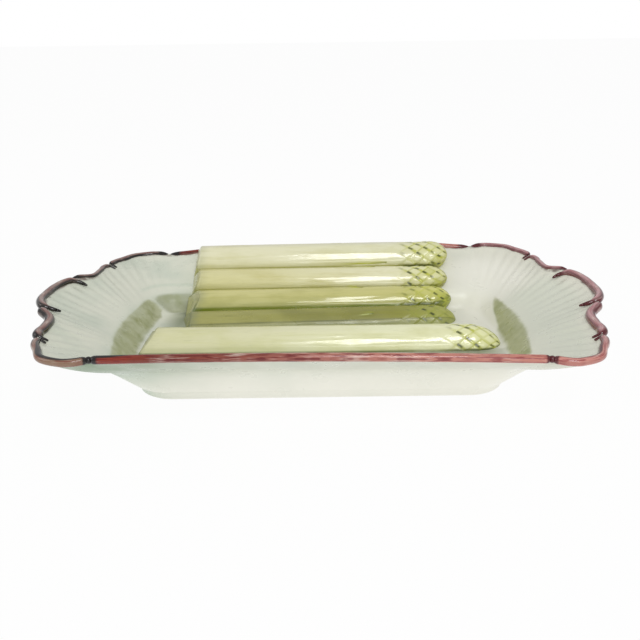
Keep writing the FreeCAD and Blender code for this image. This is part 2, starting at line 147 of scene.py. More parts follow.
def curve_through(points: Ring, spacing: float) -> Ring:
    """Smooth curve through points, resampled evenly.

    Args:
        points: points that the curve passes through.
        spacing: distance between the points returned.

    Returns:
        Points along a cardinal spline.
    """
    fine: Ring = []
    ends = [points[0] * 2.0 - points[1]] + points + [points[-1] * 2.0 - points[-2]]
    for before, start, stop, after in zip(ends, ends[1:], ends[2:], ends[3:]):
        span = (stop - start).length
        leave = (stop - before) * (span / (span + (start - before).length))
        reach = (after - start) * (span / ((after - stop).length + span))
        for step in range(SPLINE_STEPS):
            share = step / SPLINE_STEPS
            square, cube = share * share, share ** 3
            fine.append(start * (2 * cube - 3 * square + 1) + leave * (cube - 2 * square + share)
                        + stop * (3 * square - 2 * cube) + reach * (cube - square))
    fine.append(points[-1].copy())
    return resample(fine, spacing)


def resample(points: Ring, spacing: float) -> Ring:
    """Spread points evenly along a chain.

    Args:
        points: the chain.
        spacing: distance wanted between neighbours, which is rounded to fit.

    Returns:
        The new chain, with the same ends.
    """
    gaps = [(b - a).length for a, b in zip(points, points[1:])]
    total = sum(gaps)
    count = max(2, round(total / spacing))
    chain, index, passed = [points[0].copy()], 0, 0.0
    for step in range(1, count):
        goal = total * step / count
        while passed + gaps[index] < goal:
            passed += gaps[index]
            index += 1
        chain.append(mix(points[index], points[index + 1], (goal - passed) / gaps[index]))
    chain.append(points[-1].copy())
    return chain


# ---------------------------------------------------------------- meshes

def level_marks(names: Iterable[str], count: int, **marked: float) -> Marks:
    """Marks that all points of a row share; those that aren't given are 0."""
    return {name: [marked.get(name, 0.0)] * count for name in names}


@dataclass
class Skin:
    """A mesh in the making, in millimetres, with named marks at its points."""

    points: Ring = field(default_factory=list)
    faces: list[tuple[int, ...]] = field(default_factory=list)
    marks: Marks = field(default_factory=dict)

    def add_row(self, row: Iterable[Vector], **marks: Iterable[float]) -> int:
        """Add a row of points.

        Args:
            row: the points.
            marks: for each name, one value for each point.

        Returns:
            Index of the row's first point.
        """
        first = len(self.points)
        self.points.extend(row)
        for name, numbers in marks.items():
            self.marks.setdefault(name, []).extend(numbers)
        return first

    def bridge(self, lower: int, upper: int, count: int) -> None:
        """Join two rings of equal length with quads.

        Args:
            lower: first point of one ring.
            upper: first point of the other ring.
            count: how many points each ring has.
        """
        for step in range(count):
            after = (step + 1) % count
            self.faces.append((lower + step, lower + after, upper + after, upper + step))

    def bridge_all(self, rows: list[int], count: int) -> None:
        """Join each ring of a list to the next; their order also sets which way the quads are split."""
        for lower, upper in zip(rows, rows[1:]):
            self.bridge(lower, upper, count)

    def cap(self, row: int, count: int) -> None:
        """Close a ring with one flat face."""
        self.faces.append(tuple(range(row, row + count)))

    def fan(self, row: int, count: int, tip: int) -> None:
        """Join a ring to one point.

        Args:
            row: first point of the ring.
            count: how many points it has.
            tip: the point it closes to.
        """
        for step in range(count):
            self.faces.append((row + step, row + (step + 1) % count, tip))

    def piece(self, name: str, material: bpy.types.Material, slot: str) -> bpy.types.Object:
        """Turn the skin into an object that rides on the plate.

        Args:
            name: name of the piece.
            material: its finish.
            slot: not used.

        Returns:
            The new object.
        """
        mesh = bpy.data.meshes.new(name)
        mesh.from_pydata([point * MM for point in self.points], [], self.faces)
        for key, numbers in self.marks.items():
            mesh.attributes.new(key, "FLOAT", "POINT").data.foreach_set("value", numbers)
        mesh.validate()
        shell = bmesh.new()
        shell.from_mesh(mesh)
        bmesh.ops.recalc_face_normals(shell, faces=shell.faces)
        shell.to_mesh(mesh)
        shell.free()
        mesh.shade_smooth()
        mesh.materials.append(material)
        thing = bpy.data.objects.new(name, mesh)
        bpy.context.scene.collection.objects.link(thing)
        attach(thing, BODY)
        LOG.info("%s: %d points", name, len(self.points))
        return thing


# ---------------------------------------------------------------- nodes

@dataclass(frozen=True)
class Kind:
    """A kind of node as it is used here: its inputs in the order they are filled, and the output read."""

    name: str
    inputs: tuple[int | str, ...] = ()
    output: int | str = 0
    settings: dict[str, str] = field(default_factory=dict)


PLACE = Kind("ShaderNodeTexCoord", output="Object")
MARK = Kind("ShaderNodeAttribute", output="Fac")
X_OF = Kind("ShaderNodeSeparateXYZ", (0,), "X")
Y_OF = Kind("ShaderNodeSeparateXYZ", (0,), "Y")
JOIN = Kind("ShaderNodeCombineXYZ", (0, 1, 2))
STRETCH = Kind("ShaderNodeVectorMath", (0, 1), settings={"operation": "MULTIPLY"})
SHIFT = Kind("ShaderNodeVectorMath", (0, 1), settings={"operation": "ADD"})
SHRINK = Kind("ShaderNodeVectorMath", (0, "Scale"), settings={"operation": "SCALE"})
NOISE = Kind("ShaderNodeTexNoise", ("Vector", "Scale", "Detail", "Roughness"), "Fac")
WANDER = Kind("ShaderNodeTexNoise", ("Vector", "Scale", "Detail"), "Color")
CELLS = Kind("ShaderNodeTexVoronoi", ("Vector", "Scale"), "Distance")
CELL_EDGES = Kind("ShaderNodeTexVoronoi", ("Vector", "Scale"), "Distance", {"feature": "DISTANCE_TO_EDGE"})
EASE = Kind("ShaderNodeMapRange", ("Value", "From Min", "From Max", "To Min", "To Max"), "Result",
            {"interpolation_type": "SMOOTHSTEP"})
TIMES = Kind("ShaderNodeMath", (0, 1), settings={"operation": "MULTIPLY"})
PLUS = Kind("ShaderNodeMath", (0, 1), settings={"operation": "ADD"})
LARGER = Kind("ShaderNodeMath", (0, 1), settings={"operation": "MAXIMUM"})
TIMES_PLUS = Kind("ShaderNodeMath", (0, 1, 2), settings={"operation": "MULTIPLY_ADD"})
# Base, over and amount. The colour inputs share their names with others, so they go by number.
TINT = Kind("ShaderNodeMix", (6, 7, 0), 2, {"data_type": "RGBA"})
BUMP = Kind("ShaderNodeBump", ("Height", "Strength", "Distance", "Normal"), "Normal")
GLOSS = Kind("ShaderNodeBsdfPrincipled", ("Base Color", "Roughness", "IOR", "Normal"))
DIFFUSE = Kind("ShaderNodeBsdfDiffuse", ("Color",))
GLOW = Kind("ShaderNodeEmission", ("Color", "Strength"))
BACKGROUND = Kind("ShaderNodeBackground", ("Color", "Strength"))
CAMERA_RAY = Kind("ShaderNodeLightPath", output="Is Camera Ray")
BLEND = Kind("ShaderNodeMixShader", (0, 1, 2))
SURFACE = Kind("ShaderNodeOutputMaterial", ("Surface",))
SURROUND = Kind("ShaderNodeOutputWorld", ("Surface",))


def linear(hexcode: str) -> tuple[float, float, float, float]:
    """Turn an sRGB hex colour to linear light.

    Args:
        hexcode: such as "#e9e6da".

    Returns:
        Red, green, blue and an alpha of 1.
    """
    parts = [int(hexcode[i:i + 2], 16) / 255.0 for i in (1, 3, 5)]
    red, green, blue = [p / 12.92 if p <= 0.04045 else ((p + 0.055) / 1.055) ** 2.4 for p in parts]
    return (red, green, blue, 1.0)


def add(tree: Tree, kind: Kind, *values: Socket | float | tuple, **settings: str) -> Socket | None:
    """Add a node to a tree.

    Args:
        tree: the node tree.
        kind: which node it is.
        values: for each of the kind's inputs, in order, a socket to link or a value to set.
        settings: properties of the node besides the kind's own.

    Returns:
        The kind's output, or nothing for a node that has none.
    """
    node = tree.nodes.new(kind.name)
    for name, setting in {**kind.settings, **settings}.items():
        setattr(node, name, setting)
    for place, value in zip(kind.inputs, values):
        if isinstance(value, Socket):
            tree.links.new(value, node.inputs[place])
        else:
            node.inputs[place].default_value = value
    return node.outputs[kind.output] if node.outputs else None


def emptied(owner: bpy.types.Material | bpy.types.World) -> Tree:
    """Switch on a material's or world's nodes and empty its tree.

    Args:
        owner: the material or world.

    Returns:
        Its node tree.
    """
    owner.use_nodes = True
    owner.node_tree.nodes.clear()
    return owner.node_tree


def cloud(tree: Tree, place: Socket, size_mm: float, detail: float = 3.0, longer: float = 1.0) -> Socket:
    """Soft random variation around 0.5, in blotches of a real size.

    Args:
        tree: the material's tree.
        place: coordinates in metres.
        size_mm: size of the blotches.
        detail: how many finer layers they have.
        longer: how many times longer they are along X.

    Returns:
        The variation.
    """
    size, ruggedness = size_mm * MM, 0.55
    scaled = add(tree, STRETCH, place, (1.0 / (size * longer), 1.0 / size, 1.0 / size))
    return add(tree, NOISE, scaled, 1.0, detail, ruggedness)


# ---------------------------------------------------------------- finishes

@dataclass(frozen=True)
class Glaze:
    """Clear lead glaze, dipped and fired to a skin of glass over white clay.

    The eye sees a smooth gloss that wavers slowly where the glaze ran, over a faint fine grain.
    """

    name: str
    ior: float = 1.55
    roughness: float = 0.13
    uneven_gloss: Pair = (0.8, 1.35)
    gloss_mm: float = 14.0
    wave_mm: float = 9.0
    wave_depth_mm: float = 0.05
    grain_mm: float = 1.1
    grain_depth_mm: float = 0.006

    def shared(self) -> bpy.types.Material:
        """The finish's material, made on first use."""
        return bpy.data.materials.get(self.name) or self.made()

    def made(self) -> bpy.types.Material:
        """Join the colour and the gloss, with the glaze's slow waves and fine grain.

        Returns:
            The finished material.
        """
        material = bpy.data.materials.new(self.name)
        tree = emptied(material)
        place = add(tree, PLACE)
        waves = cloud(tree, place, self.wave_mm, 1.0)
        grain = cloud(tree, place, self.grain_mm, 2.0)
        normal = add(tree, BUMP, waves, 1.0, self.wave_depth_mm * MM)
        normal = add(tree, BUMP, grain, 1.0, self.grain_depth_mm * MM, normal)
        low, high = (self.roughness * times for times in self.uneven_gloss)
        sheen = add(tree, EASE, cloud(tree, place, self.gloss_mm), 0.3, 0.7, low, high)
        add(tree, SURFACE, add(tree, GLOSS, self.colour(tree, place), sheen, self.ior, normal))
        return material

    def colour(self, tree: Tree, place: Socket) -> Socket:
        """The colour under the gloss, which each finish paints in its own way."""
        raise NotImplementedError


@dataclass(frozen=True)
class DishGlaze(Glaze):
    """Opaque tin glaze, dipped, on pressed faience: milky off-white, cool where it has run thick.

    The eye sees a soft white that is a little green in the hollows, sage washes brushed on the ends
    of the well, hair-fine crazing, a few pinholes, and a darker line where the rim's paint has bled.
    Painted light and shade are laid into the colour as well. Painted light makes it warmer and lighter
    at the right, and whiter low on the outer wall and on the foot. Painted shade darkens it under the
    rim, round the spears' butts and along the front spear.
    """

    white: str = "#e4e6d6"
    cool: str = "#d2d9c9"
    warm: str = "#ebe9db"
    pooled: str = "#9fbda6"
    sage: str = "#a9ad80"
    sage_deep: str = "#979d6c"
    shade: str = "#77805f"
    fresh: str = "#f7f6ea"
    bleed: str = "#6f5a52"
    craze: str = "#b9b59c"
    speck: str = "#5d5a4c"
    blotch_mm: float = 38.0
    wash_mm: float = 9.0
    brush_mm: float = 5.0
    bleed_mm: float = 7.0
    craze_mm: float = 4.5
    craze_wave_mm: float = 25.0 / 3.0
    craze_shift_mm: float = 4.0
    craze_patch_mm: float = 45.0
    craze_strength: float = 0.03
    speck_mm: float = 62.0
    roughness: float = 0.32

    def colour(self, tree: Tree, place: Socket) -> Socket:
        """Lay the glaze's own blotches, pooled and painted places, painted light and shade, and marks of age.

        Args:
            tree: the material's tree.
            place: coordinates in metres.

        Returns:
            The colour.
        """
        blotch = cloud(tree, place, self.blotch_mm, 4.0)
        colour = add(tree, TINT, linear(self.cool), linear(self.white), add(tree, EASE, blotch, 0.3, 0.62))
        # Warmer and lighter towards the right: partly the glaze's own tone, partly painted light, as if lit
        # from the right.
        right_warm_and_lit = add(tree, EASE, add(tree, X_OF, place), -0.06, 0.2)
        colour = add(tree, TINT, colour, linear(self.warm), add(tree, TIMES, right_warm_and_lit, 0.75))
        # Pooled glaze greens the hollows. The second mark is painted light: whiter low on the outer wall, on
        # the foot and at the rear right of the well. The third is painted shade: darker at the top of the
        # outer wall, round the spears' butts and along the front spear.
        for name, paint, thin, thick in (("pool", self.pooled, 0.75, 1.2), ("fresh", self.fresh, 0.8, 1.1),
                                         ("shade", self.shade, 0.8, 1.1)):
            mask = add(tree, MARK, attribute_name=name)
            uneven = add(tree, TIMES, mask, add(tree, EASE, blotch, 0.2, 0.75, thin, thick))
            colour = add(tree, TINT, colour, linear(paint), uneven)
        colour = self.bled(tree, self.washed(tree, colour, place), place)
        return self.pinholed(tree, self.crazed(tree, colour, place), place)

    def washed(self, tree: Tree, colour: Socket, place: Socket) -> Socket:
        """Brush the sage washes on, with edges that waver and a mottled body.

        Args:
            tree: the material's tree.
            colour: the colour so far.
            place: coordinates in metres.

        Returns:
            The new colour.
        """
        mottle = cloud(tree, place, self.wash_mm, 4.0)
        waver = add(tree, EASE, mottle, 0.25, 0.75, -0.13, 0.13)
        edge = add(tree, EASE, add(tree, PLUS, add(tree, MARK, attribute_name="sage"), waver), 0.12, 0.92)
        body = add(tree, TINT, linear(self.sage), linear(self.sage_deep), add(tree, EASE, mottle, 0.4, 0.72))
        thin = add(tree, EASE, cloud(tree, place, self.brush_mm, 3.0), 0.25, 0.65, 0.82, 0.98)
        return add(tree, TINT, colour, body, add(tree, TIMES, edge, thin))

    def bled(self, tree: Tree, colour: Socket, place: Socket) -> Socket:
        """Let the rim's paint bleed raggedly into the glaze.

        Args:
            tree: the material's tree.
            colour: the colour so far.
            place: coordinates in metres.

        Returns:
            The new colour.
        """
        ragged = add(tree, EASE, cloud(tree, place, self.bleed_mm), 0.4, 0.65, 0.1, 0.9)
        near = add(tree, TIMES, add(tree, MARK, attribute_name="rim_line"), ragged)
        return add(tree, TINT, colour, linear(self.bleed), near)

    def crazed(self, tree: Tree, colour: Socket, place: Socket) -> Socket:
        """Draw the crazing in patches.

        It is finer than a pixel of the picture, so its lines are drawn a little wide and faint. A small
        random shift keeps the net from looking ruled.

        Args:
            tree: the material's tree.
            colour: the colour so far.
            place: coordinates in metres.

        Returns:
            The new colour.
        """
        wander = add(tree, WANDER, place, 1.0 / (self.craze_wave_mm * MM), 2.0)
        shifted = add(tree, SHIFT, place, add(tree, SHRINK, wander, self.craze_shift_mm * MM))
        net = add(tree, CELL_EDGES, shifted, 1.0 / (self.craze_mm * MM))
        patch = cloud(tree, place, self.craze_patch_mm)
        patchy = add(tree, EASE, patch, 0.45, 0.7, 0.0, self.craze_strength)
        line = add(tree, TIMES, add(tree, EASE, net, 0.0, 0.1, 1.0, 0.0), patchy)
        return add(tree, TINT, colour, linear(self.craze), line)

    def pinholed(self, tree: Tree, colour: Socket, place: Socket) -> Socket:
        """Scatter a few pinholes.

        Args:
            tree: the material's tree.
            colour: the colour so far.
            place: coordinates in metres.

        Returns:
            The new colour.
        """
        spots = add(tree, CELLS, place, 1.0 / (self.speck_mm * MM))
        return add(tree, TINT, colour, linear(self.speck), add(tree, EASE, spots, 0.01, 0.02, 0.6, 0.0))


@dataclass(frozen=True)
class SpearGlaze(Glaze):
    """Yellow and green stains brushed on a moulded spear, under a poured lead glaze.

    The eye sees cream that turns yellow-green in the valleys, fine long streaks along the stem, and
    scales outlined in yellow-green with short dark dashes where one scale lies over the next. The
    valleys' darker green is partly stain pooled there and partly painted shade, and the grey at the
    butt is partly the cut end's colour and partly painted shade.
    """

    butt_end: str = "#ece9bb"
    tip_end: str = "#f2f0cd"
    stain: str = "#cfc97f"
    head_tint: str = "#e3e39c"
    valley: str = "#8d8f32"
    edge: str = "#bcc03e"
    dash: str = "#37420d"
    grey: str = "#7c8468"
    wash_mm: float = 20.0
    streak_mm: float = 3.0
    hair_mm: float = 0.9
    ior: float = 1.65
    roughness: float = 0.13

    def colour(self, tree: Tree, place: Socket) -> Socket:
        """Run from the butt's colour to the tip's, streak the stem, then paint what is marked.

        Args:
            tree: the material's tree.
            place: coordinates in metres.

        Returns:
            The colour.
        """
        wash = cloud(tree, place, self.wash_mm, 4.0, 2.0)
        streak = cloud(tree, place, self.streak_mm, 4.0, 14.0)
        hair = cloud(tree, place, self.hair_mm, 3.0, 10.0)
        along = add(tree, EASE, add(tree, X_OF, place), -0.08, 0.09)
        colour = add(tree, TINT, linear(self.butt_end), linear(self.tip_end), along)
        for pattern, paint, start, stop, strength in ((wash, self.stain, 0.42, 0.72, 0.6),
                                                      (streak, self.stain, 0.5, 0.76, 0.5),
                                                      (hair, self.valley, 0.56, 0.8, 0.16)):
            amount = add(tree, EASE, pattern, start, stop, 0.0, strength)
            colour = add(tree, TINT, colour, linear(paint), amount)
        # The valley and soft marks are partly pooled stain, partly painted shade; the dash and cut marks also
        # carry painted shade.
        for name, paint, strength in (("head", self.head_tint, 0.75), ("soft", self.valley, 0.5),
                                      ("valley", self.valley, 0.95), ("edge", self.edge, 1.0),
                                      ("dash", self.dash, 1.0), ("cut", self.grey, 0.8)):
            uneven = add(tree, EASE, streak, 0.25, 0.6, strength * 0.6, strength)
            amount = add(tree, TIMES, add(tree, MARK, attribute_name=name), uneven)
            colour = add(tree, TINT, colour, linear(paint), amount)
        return colour


@dataclass(frozen=True)
class RimStain(Glaze):
    """Manganese and iron stain brushed on a moulded bead, under clear glaze.

    The eye sees mauve-brown at the left and rose at the right, thin on the crown and almost black in
    the curls and along the edges, with red strokes on the long front rail. The change from left to
    right is partly the stain's own colour and partly painted light, the right painted lighter.
    """

    brown: str = "#9c8077"
    rose: str = "#c69799"
    olive: str = "#866a50"
    rail_left: str = "#8a321c"
    rail_right: str = "#d68f7f"
    red: str = "#741512"
    crimson: str = "#8a2230"
    dark: str = "#160f0e"
    bare: str = "#e3d6c9"
    stroke_mm: float = 1.1
    puddle_mm: float = 2.86
    roughness: float = 0.12
    wave_depth_mm: float = 0.03

    def colour(self, tree: Tree, place: Socket) -> Socket:
        """Lay the stain's body colour, then the red strokes and the dark lines and ends.

        Args:
            tree: the material's tree.
            place: coordinates in metres.

        Returns:
            The colour.
        """
        marks = {name: add(tree, MARK, attribute_name=name)
                 for name in ("along", "across", "ends", "rail", "outer", "inner")}
        brushed_on = add(tree, JOIN, marks["along"], marks["across"], marks["rail"])
        stroke = cloud(tree, brushed_on, self.stroke_mm, 4.0, 11.0)
        puddle = cloud(tree, brushed_on, self.puddle_mm, 3.0, 7.0)
        x = add(tree, X_OF, place)
        right = add(tree, EASE, x, -0.06, 0.12)
        front = add(tree, EASE, add(tree, Y_OF, place), -0.085, -0.112)
        fainter = add(tree, EASE, x, -0.1, 0.14, 1.0, 0.75)
        colour = self.body(tree, x, right, front, marks["rail"])
        colour = add(tree, TINT, colour, linear(self.bare), add(tree, EASE, puddle, 0.46, 0.3, 0.0, 0.6))
        strong = add(tree, TINT, linear(self.red), linear(self.crimson), right)
        strokes = add(tree, TIMES, add(tree, EASE, stroke, 0.49, 0.57, 0.05, 1.0), fainter)
        # The strokes show fully on a rail and at the front right, and faintly on a scroll.
        on_rail = add(tree, EASE, marks["rail"], 0.0, 1.0, 0.55, 1.0)
        shown = add(tree, LARGER, on_rail, add(tree, TIMES, front, right))
        colour = add(tree, TINT, colour, strong, add(tree, TIMES, strokes, shown))
        shade = add(tree, TINT, linear(self.dark), linear(self.crimson), add(tree, TIMES, right, 0.35))
        outer = add(tree, TIMES, marks["outer"], add(tree, EASE, front, 0.0, 1.0, 1.0, 0.35))
        inner = add(tree, TIMES, marks["inner"], add(tree, EASE, front, 0.0, 1.0, 0.8, 1.3))
        ragged = add(tree, EASE, puddle, 0.28, 0.5, 0.7, 1.3)
        lines = add(tree, TIMES, add(tree, TIMES, add(tree, PLUS, outer, inner), ragged), fainter)
        colour = add(tree, TINT, colour, shade, lines)
        ends = add(tree, TIMES, marks["ends"], add(tree, EASE, puddle, 0.2, 0.5, 0.8, 1.3))
        return add(tree, TINT, colour, shade, ends)

    def body(self, tree: Tree, x: Socket, right: Socket, front: Socket, rail: Socket) -> Socket:
        """The stain's colour without strokes and lines.

        Args:
            tree: the material's tree.
            x: place along the plate, in metres.
            right: how far to the right.
            front: how far to the front.
            rail: 1 on a rail, 0 on a scroll.

        Returns:
            The colour.
        """
        # Darker at the left and lighter at the right: partly the stain's own colours, partly painted light.
        scroll = add(tree, TINT, linear(self.brown), linear(self.rose), right)
        nearest = add(tree, TINT, linear(self.olive), linear(self.rail_right), right)
        scroll = add(tree, TINT, scroll, nearest, add(tree, TIMES, front, 0.8))
        along = add(tree, EASE, x, -0.11, 0.08)
        rails = add(tree, TINT, linear(self.rail_left), linear(self.rail_right), along)
        return add(tree, TINT, scroll, rails, rail)


# ---------------------------------------------------------------- the scalloped outline

@dataclass(frozen=True)
class Outline:
    """Middle line of the scalloped rim. Each point is how far it lies in from the end and the side."""

    length: float = 377.0
    width: float = 250.2
    height: float = 46.0
    front_rise: float = 3.0
    rear_rise: float = -1.0
    volute_rise: float = 2.0
    end_rise: float = 1.7
    rail_bead: float = 5.4
    end_bead: float = 6.2
    twist: float = 0.000103
    rear_drop: float = 3.2
    drop_reach: Pair = (80.0, 122.0)
    rear_spread: float = 2.6
    spread_reach: Pair = (128.0, 168.0)
    spread_back: Pair = (15.0, 70.0)
    knot: Pair = (63.8, 6.2)
    brow: Pair = (55.8, 2.9)
    crest: Pair = (49.0, 2.6)
    bow: Pair = (37.2, 8.7)
    flank: Pair = (31.0, 21.0)
    fall: Pair = (26.6, 30.6)
    notch: Pair = (24.8, 40.2)
    hip: Pair = (22.6, 47.6)
    waist: Pair = (22.9, 57.0)
    hollow: Pair = (20.8, 73.5)
    volute: Pair = (10.6, 90.0)

    def quadrant(self) -> Ring:
        """The eleven points where x and y are positive, from the long rail to the end lobe.

        Returns:
            The points.
        """
        named = (self.knot, self.brow, self.crest, self.bow, self.flank, self.fall, self.notch,
                 self.hip, self.waist, self.hollow, self.volute)
        points = [Vector((self.length / 2 - end, self.width / 2 - side, self.height)) for end, side in named]
        points[-1].z += self.volute_rise
        return points

    def settle(self, point: Vector) -> Vector:
        """Where a point of the rim comes to rest: in the kiln it twisted, and the rear sank and spread.

        Args:
            point: the point as it was pressed.

        Returns:
            The point as it was fired.
        """
        back = max(0.0, point.y) / (self.width / 2)
        sunk = self.rear_drop * smooth(abs(point.x), *self.drop_reach) * back
        spread = self.rear_spread * smooth(abs(point.x), *self.spread_reach)
        spread *= smooth(point.y, *self.spread_back)
        return point + Vector((math.copysign(spread, point.x), 0.0, self.twist * point.x * point.y - sunk))

    def front_middle(self) -> Vector:
        """Middle of the front rail, mirrored to the rear."""
        return Vector((0.0, (self.width - self.rail_bead) / 2, self.height + self.front_rise))

    def rear_middle(self) -> Vector:
        """Middle of the rear rail, which sags a little in the firing."""
        return Vector((0.0, (self.width - self.rail_bead) / 2, self.height + self.rear_rise))

    def end_middle(self) -> Vector:
        """Middle of the right-hand end lobe."""
        return Vector(((self.length - self.end_bead) / 2, 0.0, self.height + self.end_rise))


@dataclass(frozen=True)
class RoundedRing:
    """A level rounded rectangle with bowed ends: one of the creases of the dish."""

    length: float
    width: float
    corner: float
    bow: float
    height: float
    corner_steps: int = 6
    end_shares: tuple[float, ...] = (0.86, 0.72, 0.58, 0.44)

    def quadrant(self) -> Ring:
        """Eleven points that match those of the outline.

        Returns:
            Seven round the corner, then four down the end.
        """
        centre_x = self.length / 2 - self.bow - self.corner
        centre_y = self.width / 2 - self.corner
        points = []
        for step in range(self.corner_steps + 1):
            angle = 0.5 * math.pi * (self.corner_steps - step) / self.corner_steps
            points.append(Vector((centre_x + self.corner * math.cos(angle),
                                  centre_y + self.corner * math.sin(angle), self.height)))
        for share in self.end_shares:
            points.append(Vector((self.length / 2 - self.bow * share ** 2, centre_y * share, self.height)))
        return points

    def front_middle(self) -> Vector:
        """Middle of the front side, mirrored to the rear."""
        return Vector((0.0, self.width / 2, self.height))

    rear_middle = front_middle

    def end_middle(self) -> Vector:
        """Middle of the right-hand end."""
        return Vector((self.length / 2, 0.0, self.height))


ARC_STEPS = 60


def whole_ring(shape: Outline | RoundedRing) -> Ring:
    """Go right round an outline, anticlockwise from the right-hand end lobe.

    Args:
        shape: what gives the points of one quadrant and the middles of the sides and the end.

    Returns:
        Points in the same places round every outline, so that rings can be joined.
    """
    quadrant, front, end = shape.quadrant(), [shape.front_middle()], [shape.end_middle()]
    back = quadrant[::-1]
    ring = back + [shape.rear_middle()] + mirrored(quadrant, -1, 1) + mirrored(end, -1, 1)
    ring += mirrored(back, -1, -1) + mirrored(front, 1, -1) + mirrored(quadrant, 1, -1) + end
    closed = ring + ring[:1]
    dense: Ring = []
    for start in range(0, len(ring), 2):
        dense += arc_through(*closed[start:start + 3], ARC_STEPS)
    return dense


# ---------------------------------------------------------------- paint on the body

PAINTS = ("sage", "pool", "rim_line", "fresh", "shade")


@dataclass(frozen=True)
class Patch:
    """A soft-edged patch of paint: its strength, and the limits of each ease along each measure.

    The share says how far down the dish a point lies: 0 at the rim, 1 at the crease of the well and
    2 at the floor.
    """

    strength: float
    x: tuple[Pair, ...] = ()
    y: tuple[Pair, ...] = ()
    z: tuple[Pair, ...] = ()
    share: tuple[Pair, ...] = ()

    def at(self, point: Vector, share: float = 0.0) -> float:
        """Strength of the patch at a point.

        Args:
            point: the point.
            share: how far down the dish it lies.

        Returns:
            The strength, 0 outside the patch.
        """
        strength = self.strength
        for value, eases in ((point.x, self.x), (share, self.share), (point.y, self.y), (point.z, self.z)):
            for start, stop in eases:
                strength *= smooth(value, start, stop)
                if strength == 0.0:
                    return 0.0
        return strength


def brushed(points: Ring, **patches: tuple[Patch, ...]) -> Marks:
    """Marks of a row of the body's points: the sum of each paint's patches, or 0."""
    return {name: [sum((patch.at(point) for patch in patches.get(name, ())), 0.0) for point in points]
            for name in PAINTS}


